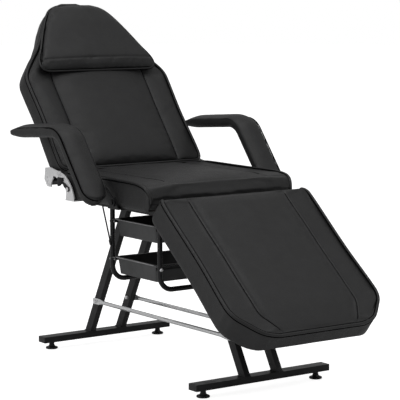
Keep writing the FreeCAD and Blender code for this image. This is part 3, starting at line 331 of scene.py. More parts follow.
@dataclass(frozen=True)
class Leather(Finish):
    """Faux leather: pebbled cells, soft hand-sized waves and a rubbed shine on the cells' tops."""

    cell_scale: float = 620.0
    grain_depth: float = 0.00022
    wave_depth: float = 0.0012
    wave_scale: float = 38.0

    def dress(self, graph: Graph, shader: Node, place: NodeSocket, tone: NodeSocket,
              patch: NodeSocket) -> None:
        """Adds grain, waves and painted shade in the valleys between the cells."""
        cells = graph.use(EFFECTS.pebble, {"Vector": place, "Scale": self.cell_scale})
        valley = cells.outputs["Valley"]
        # Darkening the cells' valleys is painted shade.
        shade = graph.math("SUBTRACT", tone, graph.math("MULTIPLY", valley, 0.5))
        graph.feed(shader, {"Base Color": graph.between(shade, self.dark, self.light),
                            "Roughness": graph.math("ADD", patch, graph.math("MULTIPLY", valley, 0.12))})
        wave = graph.add("TexNoise", {"Vector": place, "Scale": self.wave_scale, "Detail": 3.0})
        bumped(graph, shader, [(wave.outputs[0], 0.22, self.wave_depth),
                               (cells.outputs["Height"], 0.55, self.grain_depth)])


@dataclass(frozen=True)
class Coated(Finish):
    """Powder coat on steel: fine orange peel, and bare metal where edges are rubbed."""

    bare: Colour = (0.32, 0.31, 0.30)
    bare_metallic: float = 0.85
    wear: float = 0.35
    peel_scale: float = 700.0

    def dress(self, graph: Graph, shader: Node, place: NodeSocket, tone: NodeSocket,
              patch: NodeSocket) -> None:
        """Adds orange peel and worn edges."""
        edge = graph.add("Attribute", attribute_name="wear").outputs["Fac"]
        mask = graph.use(EFFECTS.wear, {"Vector": place, "Edge": edge, "Amount": self.wear}).outputs[0]
        coat = graph.between(tone, self.dark, self.light)
        graph.feed(shader, {"Base Color": graph.between(mask, coat, self.bare),
                            "Metallic": graph.math("MULTIPLY", mask, self.bare_metallic)})
        peel = graph.add("TexNoise", {"Vector": place, "Scale": self.peel_scale, "Detail": 2.0})
        bumped(graph, shader, [(peel.outputs[0], 0.3, 0.00012)])


@dataclass(frozen=True)
class Metal(Finish):
    """Bare or plated metal: drawn lines, cloudy plating and faint handling marks."""

    metallic: float = 1.0
    line_scale: float = 380.0
    line_depth: float = 0.00006
    stretch: float = 0.05

    def dress(self, graph: Graph, shader: Node, place: NodeSocket, tone: NodeSocket,
              patch: NodeSocket) -> None:
        """Adds drawn lines to the roughness and the surface."""
        lines = graph.use(EFFECTS.brushed, {"Vector": place, "Scale": self.line_scale,
                                            "Stretch": self.stretch}).outputs[0]
        graph.feed(shader, {"Roughness": graph.math("ADD", patch, graph.math("MULTIPLY", lines, 0.08))})
        bumped(graph, shader, [(lines, 0.25, self.line_depth)])


@dataclass(frozen=True)
class Moulded(Finish):
    """Moulded plastic: a spark-eroded skin with a slight sheen on rubbed edges."""

    skin_scale: float = 900.0
    skin_depth: float = 0.00012

    def dress(self, graph: Graph, shader: Node, place: NodeSocket, tone: NodeSocket,
              patch: NodeSocket) -> None:
        """Adds the fine skin and smoother edges."""
        edge = graph.add("Attribute", attribute_name="wear").outputs["Fac"]
        mask = graph.use(EFFECTS.wear, {"Vector": place, "Edge": edge, "Amount": 1.0}).outputs[0]
        graph.feed(shader, {"Roughness": graph.math("SUBTRACT", patch, graph.math("MULTIPLY", mask, 0.12))})
        skin = graph.add("TexNoise", {"Vector": place, "Scale": self.skin_scale, "Detail": 2.0,
                                      "Roughness": 0.6})
        bumped(graph, shader, [(skin.outputs[0], 0.35, self.skin_depth)])


@dataclass(frozen=True)
class Plywood(Finish):
    """A birch plywood board: long wavy grain and small dark flecks."""

    def dress(self, graph: Graph, shader: Node, place: NodeSocket, tone: NodeSocket,
              patch: NodeSocket) -> None:
        """Adds the grain to colour and surface."""
        grain, fleck = (graph.use(EFFECTS.brushed, {"Vector": place, "Scale": scale,
                                                    "Stretch": stretch}).outputs[0]
                        for scale, stretch in ((90.0, 0.06), (420.0, 0.12)))
        line = graph.math("MULTIPLY", graph.ranged(grain, 0.35, 0.65), 0.75)
        shade = graph.math("SUBTRACT", graph.math("ADD", line, graph.math("MULTIPLY", tone, 0.3)),
                           graph.ranged(fleck, 0.62, 0.72, 0.0, 0.5))
        graph.feed(shader, {"Base Color": graph.between(shade, self.dark, self.light)})
        bumped(graph, shader, [(grain, 0.3, 0.0002), (fleck, 0.25, 0.0001)])


UPHOLSTERY = Leather("black_faux_leather", Slot.UPHOLSTERY, (0.0125, 0.0125, 0.013), (0.0155, 0.0155, 0.016),
                     0.42, 0.48)
PIPING = Leather("black_welt_leather", Slot.UPHOLSTERY, (0.010, 0.010, 0.0105), (0.013, 0.013, 0.0135),
                 0.36, 0.42, cell_scale=900.0, grain_depth=0.00012, wave_depth=0.0004)
# Near-black, almost unreflecting cords laid beside welts, along seams and down channels: painted shade of
# the creases.
PAINTED_CREASE_SHADE = Moulded("painted_crease_shade_black", Slot.UPHOLSTERY, (0.0012, 0.0012, 0.0013), (0.002, 0.002, 0.0021),
                 0.85, 0.95, specular=0.05, skin_scale=2600.0)
THREAD = Moulded("black_thread", Slot.UPHOLSTERY, (0.004, 0.004, 0.0042), (0.008, 0.008, 0.0084),
                 0.6, 0.7, specular=0.2, skin_scale=2600.0)
FRAME_COAT = Coated("black_powder_coat", Slot.FRAME, (0.016, 0.016, 0.017), (0.024, 0.024, 0.025),
                    0.30, 0.40, specular=0.26)
TUBE_COAT = Coated("black_gloss_tube", Slot.FRAME, (0.008, 0.008, 0.009), (0.012, 0.012, 0.013),
                   0.22, 0.30, specular=0.35, wear=0.1)
CHROME = Metal("chromed_bar", Slot.CHROME, (0.86, 0.87, 0.88), (0.94, 0.94, 0.95), 0.08, 0.16, metallic=0.75)
ZINC = Metal("bright_zinc_plate", Slot.PLATED, (0.90, 0.90, 0.91), (0.97, 0.97, 0.98), 0.26, 0.36,
             metallic=0.35, tone_scale=70.0)
BLACKENED = Metal("blackened_ratchet_steel", Slot.PLATED, (0.035, 0.035, 0.037), (0.07, 0.07, 0.073),
                  0.40, 0.52, tone_scale=40.0)
TRAY_SKIN = Moulded("dark_tray_plastic", Slot.TRAY, (0.040, 0.041, 0.042), (0.052, 0.053, 0.054), 0.42, 0.54)
# Light grey on the trays' rolled rims is a painted highlight.
PAINTED_RIM_HIGHLIGHT = Moulded("painted_highlight_tray_rim", Slot.TRAY, (0.22, 0.22, 0.225), (0.34, 0.34, 0.345), 0.20, 0.30)
FOOT_SKIN = Moulded("black_foot_plastic", Slot.PLASTIC, (0.012, 0.012, 0.013), (0.02, 0.02, 0.021),
                    0.36, 0.5)
BOARD = Plywood("stained_plywood", Slot.BOARD, (0.014, 0.012, 0.010), (0.034, 0.028, 0.022), 0.6, 0.75)


# ---------------------------------------------------------------- meshes and pieces


def placed(name: str, data: ID) -> Object:
    """Links a new object to the scene.

    Args:
        name: The object's name.
        data: The mesh, curve, lamp or camera that it holds.

    Returns:
        The object.
    """
    made = bpy.data.objects.new(name, data)
    bpy.context.scene.collection.objects.link(made)
    return made


def mesh_of(bm: BMesh, name: str) -> Mesh:
    """Turns mesh work into mesh data.

    Args:
        bm: The finished work. It is freed.
        name: The mesh's name.

    Returns:
        The mesh.
    """
    mesh = bpy.data.meshes.new(name)
    bm.to_mesh(mesh)
    bm.free()
    return mesh


def mesh_piece(mesh: Mesh, name: str, body: str, finish: Finish, nodes: Sequence[str] = ()) -> Object:
    """Places a finished mesh in the scene as a piece of the chair.

    Args:
        mesh: The mesh, in the chair's frame.
        name: The piece's name.
        body: The body that it rides on.
        finish: Its finish.
        nodes: The CAD nodes that it stands for.

    Returns:
        The new object.
    """
    piece = placed(name, mesh)
    mesh.materials.append(finish.material())
    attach(piece, body)
    if nodes:
        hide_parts(*nodes)
    log.info("piece %s on %s: %d faces", name, body, len(mesh.polygons))
    return piece


def as_piece(bm: BMesh, name: str, body: str, finish: Finish, nodes: Sequence[str] = ()) -> Object:
    """Turns mesh work into a piece and frees it; the other arguments are those of mesh_piece."""
    return mesh_piece(mesh_of(bm, name), name, body, finish, nodes)


def body_of(node: str) -> str:
    """The body that a CAD node rides on."""
    return next(body for body, members in frame["record"]["behaviour"]["bodies"].items() if node in members)


def merged(node: str) -> BMesh:
    """A copy of a CAD node's mesh with its triangles joined and its flats cleared.

    Args:
        node: The CAD node.

    Returns:
        The joined mesh.
    """
    bm = bmesh.new()
    bm.from_mesh(frame["nodes"][node].data)
    bmesh.ops.remove_doubles(bm, verts=bm.verts, dist=MERGE)
    bmesh.ops.dissolve_limit(bm, angle_limit=math.radians(0.5), use_dissolve_boundaries=False,
                             verts=bm.verts, edges=bm.edges)
    return bm


def ease(bm: BMesh, width: float, sharp_angle: float = 40.0) -> None:
    """Rounds a mesh's sharp edges and marks them for wear.

    Args:
        bm: The mesh.
        width: The rounding's width in metres.
        sharp_angle: Edges that turn more than this many degrees are rounded.
    """
    wear = bm.faces.layers.float.new("wear")
    limit = math.radians(sharp_angle)
    sharp = [edge for edge in bm.edges if edge.is_manifold and edge.calc_face_angle(0.0) > limit]
    made = bmesh.ops.bevel(bm, geom=sharp, offset=width, offset_type="OFFSET", segments=2, profile=0.5,
                           affect="EDGES", clamp_overlap=True, material=-1)
    for face in made["faces"]:
        face[wear] = 1.0


def smooth(bm: BMesh, sharp_angle: float = 32.0) -> None:
    """Shades a mesh smoothly except across its sharp edges.

    Args:
        bm: The mesh.
        sharp_angle: The turn in degrees past which an edge stays sharp.
    """
    limit = math.radians(sharp_angle)
    for face in bm.faces:
        face.smooth = True
    for edge in bm.edges:
        edge.smooth = edge.is_manifold and edge.calc_face_angle(0.0) < limit


def eased_copy(node: str, finish: Finish, width: float) -> None:
    """Stands for a rigid CAD node with the same part, its edges rounded as real steel's are.

    Args:
        node: The CAD node.
        finish: The finish.
        width: The edges' rounding in metres.
    """
    bm = merged(node)
    ease(bm, width)
    smooth(bm)
    piece = as_piece(bm, node + "_dressed", body_of(node), finish, [node])
    piece.modifiers.new("even_normals", "WEIGHTED_NORMAL").keep_sharp = True


def dress_nodes(finish: Finish, *nodes: str) -> None:
    """Gives CAD nodes that stay in view their finish.

    Args:
        finish: The finish.
        nodes: The CAD nodes.
    """
    for node in nodes:
        mesh = frame["nodes"][node].data
        mesh.materials.clear()
        mesh.materials.append(finish.material())


def applied(piece: Object) -> None:
    """Bakes a piece's modifiers into its mesh."""
    graph = bpy.context.evaluated_depsgraph_get()
    graph.update()
    mesh = bpy.data.meshes.new_from_object(piece.evaluated_get(graph), preserve_all_data_layers=True,
                                           depsgraph=graph)
    piece.modifiers.clear()
    piece.data = mesh


def refined(piece: Object) -> None:
    """Subdivides a piece's mesh once."""
    finer = piece.modifiers.new("finer", "SUBSURF")
    finer.levels = finer.render_levels = 1
    applied(piece)


def shifted(mesh: Mesh, move: Callable[[Vector, Vector], Vector]) -> None:
    """Moves a mesh's points.

    Args:
        mesh: The mesh.
        move: Gives a point's new place from its place and its normal.
    """
    pairs = [(vertex.co.copy(), vertex.normal.copy()) for vertex in mesh.vertices]
    mesh.vertices.foreach_set("co", [value for spot, normal in pairs for value in move(spot, normal)])
    mesh.update()


def shaded(mesh: Mesh) -> Mesh:
    """Shades every face of a mesh smoothly and gives it back."""
    mesh.polygons.foreach_set("use_smooth", [True] * len(mesh.polygons))
    return mesh


def taken(holder: Object) -> Mesh:
    """Takes the mesh out of a helper object, which goes.

    Args:
        holder: The object.

    Returns:
        Its mesh, smoothly shaded.
    """
    mesh = holder.data
    bpy.data.objects.remove(holder)
    return shaded(mesh)


def closed(mesh: Mesh) -> None:
    """Closes a cover's hidden opening over its board and points its faces outwards.

    Args:
        mesh: The cover's mesh.
    """
    bm = bmesh.new()
    bm.from_mesh(mesh)
    bmesh.ops.holes_fill(bm, edges=[edge for edge in bm.edges if edge.is_boundary], sides=0)
    bmesh.ops.recalc_face_normals(bm, faces=bm.faces)
    bm.to_mesh(mesh)
    bm.free()


def evened(line: list[Vector], rounds: int, ring: bool = True) -> list[Vector]:
    """Evens out a line of points by their neighbours.

    Args:
        line: The points.
        rounds: How often.
        ring: Whether the line closes on itself; an open one keeps its ends.

    Returns:
        The evened line.
    """
    for _ in range(rounds):
        before = (line[-1:] if ring else line[:1]) + line[:-1]
        after = line[1:] + (line[:1] if ring else line[-1:])
        line = [(a + 2 * b + c) / 4 for a, b, c in zip(before, line, after)]
    return line


def tube(path: Sequence[Vector], radius: float, ring: bool, sides: int = 3) -> Mesh:
    """Sweeps a round section along a path.

    Args:
        path: The points of its middle line.
        radius: The section's radius.
        ring: Whether the line closes on itself.
        sides: The curve's bevel resolution.

    Returns:
        The swept mesh.
    """
    line = bpy.data.curves.new("line", "CURVE")
    line.dimensions = "3D"
    line.bevel_depth = radius
    line.bevel_resolution = sides
    line.use_fill_caps = not ring
    spline = line.splines.new("POLY")
    spline.points.add(len(path) - 1)
    spline.points.foreach_set("co", [value for spot in path for value in (*spot, 1.0)])
    spline.use_cyclic_u = ring
    holder = placed("line", line)
    bpy.context.view_layer.update()
    mesh = bpy.data.meshes.new_from_object(holder.evaluated_get(bpy.context.evaluated_depsgraph_get()))
    bpy.data.objects.remove(holder)
    bpy.data.curves.remove(line)
    return shaded(mesh)


def spun(profile: Sequence[tuple[float, float]], steps: int) -> BMesh:
    """Turns a profile about the Z axis.

    Args:
        profile: Radius and height of each point, from the axis out and back to it.
        steps: The number of steps round.

    Returns:
        The turned, closed mesh.
    """
    bm = bmesh.new()
    points = [bm.verts.new((radius, 0.0, height)) for radius, height in profile]
    edges = [bm.edges.new(pair) for pair in zip(points, points[1:])]
    bmesh.ops.spin(bm, geom=points + edges, axis=(0, 0, 1), cent=(0, 0, 0), angle=2 * math.pi, steps=steps,
                   use_merge=True)
    bmesh.ops.remove_doubles(bm, verts=bm.verts, dist=MERGE)
    bmesh.ops.recalc_face_normals(bm, faces=bm.faces)
    return bm


def bell(value: float, reach: float) -> float:
    """A bump of height 1 at 0 that fades over a reach."""
    return math.exp(-(value / reach) ** 2)


def wobble(x: float, y: float, z: float) -> float:
    """Smooth noise from -1 to 1, the same at each run."""
    return noise.noise(Vector((x, y, z)))


# ---------------------------------------------------------------- soft goods


class Stations:
    """Values given at places along a length and read smoothly between them."""

    def __init__(self, rows: Shares) -> None:
        """Keeps the rows and works out slopes that never overshoot.

        Args:
            rows: Each row's place from 0 to 1, then its values.
        """
        self.places = [row[0] for row in rows]
        self.columns = list(zip(*(row[1:] for row in rows)))
        self.slopes = [self._slopes(column) for column in self.columns]

    def _slopes(self, column: Sequence[float]) -> list[float]:
        """Slopes of one column at its rows."""
        steps = [(b - a) / (q - p) for a, b, p, q in zip(column, column[1:], self.places, self.places[1:])]
        inner = [0.0 if a * b <= 0 else 2 * a * b / (a + b) for a, b in zip(steps, steps[1:])]
        return [steps[0], *inner, steps[-1]]

    def read(self, place: float) -> list[float]:
        """Reads every column at a place.

        Args:
            place: From 0 to 1.

        Returns:
            The values there.
        """
        place = min(max(place, 0.0), 1.0)
        row = max(i for i, start in enumerate(self.places[:-1]) if start <= place)
        gap = self.places[row + 1] - self.places[row]
        t = (place - self.places[row]) / gap
        result = []
        for column, slopes in zip(self.columns, self.slopes):
            rise = (2 * t**3 - 3 * t**2 + 1) * column[row] + (3 * t**2 - 2 * t**3) * column[row + 1]
            lean = (t**3 - 2 * t**2 + t) * slopes[row] + (t**3 - t**2) * slopes[row + 1]
            result.append(rise + gap * lean)
        return result


def focused(count: int, spots: Sequence[float], reach: float, pull: float, fine: int = 4000) -> list[float]:
    """Spreads places from -1 to 1, closer together near some spots.

    Args:
        count: The number of places.
        spots: Where they gather.
        reach: How far the gathering reaches.
        pull: How much closer they are there.
        fine: The number of steps that the spread is summed over.

    Returns:
        The places in order.
    """
    total = [0.0]
    for step in range(fine):
        x = -1 + 2 * (step + 0.5) / fine
        total.append(total[-1] + 1 + pull * max(bell(x - spot, reach) for spot in spots))
    result = []
    step = 0
    for index in range(count):
        goal = total[-1] * index / (count - 1)
        while step < fine - 1 and total[step + 1] < goal:
            step += 1
        share = (goal - total[step]) / (total[step + 1] - total[step])
        result.append(-1 + 2 * (step + share) / fine)
    return result


def inflate(piece: Object, pins: dict[int, float], cap: float, pressure: float, slack: float,
            frames: int = 16) -> None:
    """Args:
        piece: The closed cover.
        pins: How firmly each vertex number is held, from 0 to 1.
        cap: How far a point may move, in metres.
        pressure: The cloth pressure.
        slack: The share by which the cloth is larger than its shape.
        frames: The number of frames run.
    """
    scene = bpy.context.scene
    rest = [vertex.co.copy() for vertex in piece.data.vertices]
    held = piece.vertex_groups.new(name="held")
    for index, weight in pins.items():
        held.add([index], weight, "REPLACE")
    cloth = piece.modifiers.new("cover", "CLOTH")
    settings = cloth.settings
    settings.quality = 5
    settings.mass = 0.35
    settings.vertex_group_mass = held.name
    settings.use_pressure = True
    settings.uniform_pressure_force = pressure
    settings.tension_stiffness = settings.compression_stiffness = 18.0
    settings.bending_stiffness = 0.6
    settings.shrink_min = -slack
    settings.effector_weights.gravity = 0.0
    cloth.collision_settings.use_collision = False
    cloth.point_cache.frame_end = frames
    for number in range(1, frames + 1):
        scene.frame_set(number)
    applied(piece)
    scene.frame_set(1)
    flat = []
    for vertex, start in zip(piece.data.vertices, rest):
        move = vertex.co - start
        flat.extend(start + move * (cap * math.tanh(move.length / cap) / max(move.length, MERGE)))
    piece.data.vertices.foreach_set("co", flat)
    piece.vertex_groups.clear()


@dataclass
class Cushion:
    """A foam cushion in a sewn cover: crowned top with two sewn channels, welted edge and boxed sides.

    The cover is shaped in the cushion's own frame: x across, y along from its hinge edge, z out of it.
    Each row of shares holds a place along it, the width, the crown, the channels' depth, the fall of the
    top edge and the lift of the bottom edge. wrapped_end is the end that the cover runs over without a
    welt: 0 at the hinge edge, 1 at the far edge, -1 at neither.
    """

    name: str
    node: str
    body: str
    edge_y: float
    edge_z: float
    angle: float
    heading: int
    length: float
    depth: float
    shares: Shares
    rows: int
    board_far: float
    board_near: float = BOARD_INSET
    wrapped_end: int = -1
    end_insets: tuple[float, float] = (0.0076, 0.0076)
    columns: int = 85
    side_rows: int = 9
    crease_inset: float = 0.0076
    roll: float = 0.016
    edge_drop: float = 0.0062
    welt_radius: float = 0.0048
    shade_cord_radius: float = 0.0014
    channel_shade_cord: float = 0.0022
    channel_sink: float = 0.0012
    channel_place: float = 0.652
    channel_depth: float = 0.0075
    channel_width: float = 0.018
    lobe_share: float = 0.30
    step_share: float = 0.7
    seam_step: float = 0.0012
    side_bulge: float = 0.0015
    side_hang: float = 0.0022
    tuck_from: float = 0.86
    tuck_depth: float = 0.004
    end_gap: float = 0.0006
    cap: float = 0.007
    pressure: float = 4.0
    slack: float = 0.003
    pucker: float = 0.0009
    seam_reach: float = 0.014
    stitch_reach: float = 0.016
    side_wave: float = 0.0009
    broad_wave: float = 0.0010
    broad_reach: float = 0.05
    press_depth: float = 0.0034
    press_width: float = 0.0036
    rim_step: float = 0.005
    turned_down: float = -0.018
    above_base: float = 0.006
    stitch_pitch: float = 0.0065
    stitch_start: float = 0.022
    stitch_size: tuple[float, float, float] = (0.00045, 0.0026, 0.0004)

    def __post_init__(self) -> None:
        """Works out the cushion's stations, its place and the grid's spacing."""
        self.stations = Stations(self.shares)
        turn = Matrix.Rotation(math.radians(self.angle), 4, "X")
        self.place = Matrix.Translation((0, self.edge_y + SHIFT_Y, self.edge_z)) @ turn
        self.across = focused(self.columns, (-1, -self.channel_place, self.channel_place, 1), 0.05, 1.8)
        self.along = [(place + 1) / 2 for place in focused(self.rows, (-1, 1), 0.10, 2.2)]
        self.ring = self.wrapped_end < 0

    @staticmethod
    def channel(half: float) -> float:
        """How far from the middle a channel runs where the cushion's half width is as given."""
        return min(CHANNEL_X, half * CHANNEL_LIMIT)

    def outline(self, u: float, s: float) -> Vector:
        """A point of the plan: u from -1 to 1 across, s from 0 to 1 along, inside the crease."""
        half = self.stations.read(s)[0] * HALF_WIDTH - self.crease_inset
        near, far = self.end_insets
        return Vector((u * half, self.heading * (near + s * (self.length - near - far)), 0))

    def outward(self, u: float, s: float, step: float = 0.004) -> Vector:
        """The plan's outward direction at a point of its edge."""
        total = Vector((0, 0, 0))
        if abs(u) > 1 - NEAR:
            line = self.outline(u, min(1, s + step)) - self.outline(u, max(0, s - step))
            total += Vector((line.y, -line.x, 0)).normalized() * self.heading * u
        if s < NEAR or s > 1 - NEAR:
            total += Vector((0, self.heading * (1 if s > 0.5 else -1), 0))
        return total.normalized()

    def height(self, u: float, s: float) -> float:
        """The top's height above the seam's plane."""
        width, rise, dip, fall, _ = self.stations.read(s)
        half = width * HALF_WIDTH
        x = abs(u) * (half - self.crease_inset)
        channel = self.channel(half)
        lobe = 1 - (x / channel if x < channel else (2 * x - half - channel) / (half - channel)) ** 2
        groove = bell(x - channel, self.channel_width)
        if x > channel:
            aside = min(1.0, (x - channel) / (half - channel))
            groove = (1 - self.step_share) * groove + self.step_share * (1 - aside * aside)
        side = max(0.0, 1 - (1 - abs(u)) * half / self.roll)
        end = max(0.0, 1 - min(s, 1 - s) * self.length / self.roll)
        drop = self.edge_drop * (1 - math.sqrt(1 - min(1.0, side**2 + end**2)))
        padding = dip * self.channel_depth * (self.lobe_share * max(0.0, lobe) - groove)
        return rise * CROWN * (1 - u * u) + padding - fall * self.depth - drop

    def side(self, u: float, s: float, row: int) -> Vector:
        """A point of the boxed side: row 1 lies under the welt, later rows go down and in to the board."""
        top, lift = self.stations.read(s)[3:]
        edge = self.outline(u, s)
        away = self.outward(u, s)
        if row <= self.side_rows:
            t = (row - 1) / (self.side_rows - 1)
            inset = self.crease_inset if abs(u) > 1 - NEAR else self.end_insets[s > 0.5]
            tuck = max(0.0, t - self.tuck_from) / (1 - self.tuck_from)
            under = self.seam_step if row == 1 else 0.0
            out = inset - self.seam_step - under + self.side_bulge * 4 * t * (1 - t)
            out -= self.tuck_depth * tuck**2
            start = -top * self.depth - self.edge_drop - self.side_hang
            low = -self.depth * (1 - lift)
            spot = edge + away * out + Vector((0, 0, start + (low - start) * t))
            run = min(max(spot.y * self.heading, self.end_gap), self.length - self.end_gap)
            spot.y = self.heading * run
            return spot
        spot = edge + away * (self.crease_inset - BOARD_INSET - 0.0002)
        run = min(max(spot.y * self.heading, self.board_near), self.length - self.board_far)
        spot.y = run * self.heading
        limit = self.stations.read(run / self.length)[0] * HALF_WIDTH - BOARD_INSET
        spot.x = min(max(spot.x, -limit), limit)
        spot.z = -self.depth
        if row > self.side_rows + 1:
            spot.z = -self.depth + BOARD_THICKNESS + 0.001
        return spot

    def cover(self) -> tuple[BMesh, dict[int, float]]:
        """Builds the cover, open only over its hidden board.

        Returns:
            The mesh in the cushion's own frame and how firmly its vertices are held.
        """
        bm = bmesh.new()
        bmesh.ops.create_grid(bm, x_segments=self.columns - 1, y_segments=self.rows - 1, size=1.0)
        rim = [edge for edge in bm.edges if edge.is_boundary]
        for row in range(1, self.side_rows + 3):
            made = bmesh.ops.extrude_edge_only(bm, edges=rim)["geom"]
            for item in made:
                if isinstance(item, BMVert):
                    item.co.z = -row
            rim = [item for item in made if isinstance(item, BMEdge) and item.is_boundary]
        bm.verts.ensure_lookup_table()
        pins = {}
        for vertex in bm.verts:
            column = round((vertex.co.x + 1) / 2 * (self.columns - 1))
            line = round((vertex.co.y + 1) / 2 * (self.rows - 1))
            u, s = self.across[column], self.along[line]
            row = round(-vertex.co.z)
            if row == 0:
                vertex.co = self.outline(u, s) + Vector((0, 0, self.height(u, s)))
                edge = column in (0, self.columns - 1) or line in (0, self.rows - 1)
                hold = 1.0 if edge else self.channel_hold(u, s)
            else:
                vertex.co = self.side(u, s, row)
                hold = 1.0 if row <= 1 or row >= self.side_rows - 1 else 0.0
            if hold > 0.01:
                pins[vertex.index] = hold
        bmesh.ops.recalc_face_normals(bm, faces=bm.faces)
        return bm, pins

    def channel_hold(self, u: float, s: float) -> float:
        """How firmly the sewn channels hold the top at a point."""
        width, _, dip, _, _ = self.stations.read(s)
        half = width * HALF_WIDTH
        return dip * bell(abs(u) * (half - self.crease_inset) - self.channel(half), 0.004)

    def detail(self, spot: Vector, normal: Vector) -> Vector:
        """Presses the sewn channels, the small puckers and the sides' soft waves into the cover.

        Args:
            spot: A point of the finished cover.
            normal: Its normal.

        Returns:
            The point's new place.
        """
        x, y, z = spot
        run = min(max(y * self.heading / self.length, 0), 1)
        width, _, dip, fall, lift = self.stations.read(run)
        if z < -fall * self.depth - self.edge_drop - 0.001:
            span = self.depth * (1 - lift)
            low = (z + span) / span
            if normal.z <= -0.6 or low <= 0.04:
                return spot
            return spot + normal * (wobble(x * 16, y * 16, z * 22) * self.side_wave * min(1, low * 4))
        half = width * HALF_WIDTH
        side = half - abs(x)
        end = min(run, 1 - run) * self.length
        away = abs(x) - self.channel(half)
        edge = min(side, end)
        lane = (x if end < side else y) * 55
        seam = wobble(lane, 3.1 if x > 0 else 7.7, 0) * math.exp(-edge / self.seam_reach)
        stitched = wobble(y * 70, 1.3 if x > 0 else 5.9, 4) * math.exp(-abs(away) / self.stitch_reach) * dip
        broad = wobble(x * 7.0, y * 7.0, 1.7) * min(1.0, edge / self.broad_reach)
        press = dip * self.press_depth * bell(away, self.press_width)
        rise = seam * self.pucker + stitched * self.pucker * 0.8 + broad * self.broad_wave - press
        return Vector((x, y, z + rise))

    def rim_path(self, out: float, up: float) -> list[Vector]:
        """A line along the cover's top edge: a ring, or one left open at the wrapped end.

        Args:
            out: How far outside the crease it runs.
            up: Its height above the seam's plane.

        Returns:
            The line's points in the chair's frame.
        """
        count = max(8, round(self.length / self.rim_step))
        wide = max(8, round(2 * HALF_WIDTH / self.rim_step))
        far = 0.0 if self.wrapped_end == 1 else 1.0
        near = 1.0 - far
        runs = [near + (far - near) * i / count for i in range(count)]
        places = [(1.0, s) for s in runs] + [(1 - 2 * i / wide, far) for i in range(wide)]
        places += [(-1.0, far)] + [(-1.0, s) for s in reversed(runs)]
        if self.ring:
            places += [(-1 + 2 * i / wide, near) for i in range(1, wide)]
        line = []
        for u, s in places:
            spot = self.outline(u, s) + self.outward(u, s) * out
            past = 0.0 if self.ring else max(0.0, 1 - abs(s - near) * self.length / self.roll)
            rolled = self.edge_drop * (1 - math.sqrt(1 - past * past))
            line.append(Vector((spot.x, spot.y, up - self.stations.read(s)[3] * self.depth - rolled)))
        if not self.ring:
            low = self.turned_down
            if self.wrapped_end == 1:
                low = self.above_base - self.depth * (1 - self.stations.read(1.0)[4])
            drops = [i / 8 for i in range(1, 9)]
            start, stop = ([Vector((end.x, end.y, end.z + (low - end.z) * t)) for t in drops]
                           for end in (line[0], line[-1]))
            line = start[::-1] + line + stop
        return [self.place @ spot for spot in evened(line, 4, self.ring)]

    def channel_rows(self, piece: Object) -> None:
        """Lays a near-black cord of painted shade down each channel of the finished cover, with a row of
        stitches along it.

        Args:
            piece: The cover.
        """
        tree = BVHTree.FromObject(piece, bpy.context.evaluated_depsgraph_get())
        bm = bmesh.new()
        turn = self.place.to_3x3()
        out = (turn @ Vector((0, 0, 1))).normalized()
        shape = turn.to_4x4() @ Matrix.Diagonal((*self.stitch_size, 1))
        for label, side in (("left", -1), ("right", 1)):
            path = []
            run = self.stitch_start
            while run < self.length - self.stitch_start:
                width, _, dip, _, _ = self.stations.read(run / self.length)
                spot = Vector((side * self.channel(width * HALF_WIDTH), self.heading * run, 0.05))
                hit = tree.ray_cast(self.place @ spot, -out)[0] if dip > 0.25 else None
                if hit is not None:
                    path.append(hit - out * self.channel_sink)
                    fresh = bmesh.ops.create_uvsphere(bm, u_segments=6, v_segments=5, radius=1.0)["verts"]
                    top = hit + out * (self.channel_shade_cord - self.channel_sink)
                    bmesh.ops.transform(bm, matrix=Matrix.Translation(top) @ shape, verts=fresh)
                run += self.stitch_pitch
            # The channel cord is near-black painted shade in the channel's groove.
            cord = tube(path, self.channel_shade_cord, False, 1)
            mesh_piece(cord, f"{self.name}_{label}_channel_shade_cord", self.body, PAINTED_CREASE_SHADE)
        smooth(bm, 180)
        as_piece(bm, self.name + "_channel_stitches", self.body, THREAD)

    def build(self) -> None:
        """Makes the cover, its welt, near-black cords of painted crease shade beside the welt, and its
        channels.
        """
        bm, pins = self.cover()
        holder = placed(self.name, mesh_of(bm, self.name))
        inflate(holder, pins, self.cap, self.pressure, self.slack)
        refined(holder)
        shifted(holder.data, self.detail)
        closed(holder.data)
        holder.data.transform(self.place)
        cover = mesh_piece(taken(holder), self.name, self.body, UPHOLSTERY, [self.node])
        out = self.crease_inset - self.welt_radius + 0.0008
        up = 0.0022 - self.edge_drop
        reach = self.welt_radius + self.shade_cord_radius * 0.5
        # The two crease cords are near-black painted shade in the grooves beside the welt.
        for part, aside, lift, radius, sides, finish in (
                ("welt", 0.0, 0.0, self.welt_radius, 3, PIPING),
                ("inner_crease_painted_shade", -reach, 0.0014, self.shade_cord_radius, 1, PAINTED_CREASE_SHADE),
                ("outer_crease_painted_shade", 0.0034, -reach, self.shade_cord_radius, 1, PAINTED_CREASE_SHADE)):
            cord = tube(self.rim_path(out + aside, up + lift), radius, self.ring, sides)
            mesh_piece(cord, f"{self.name}_{part}", self.body, finish)
        self.channel_rows(cover)


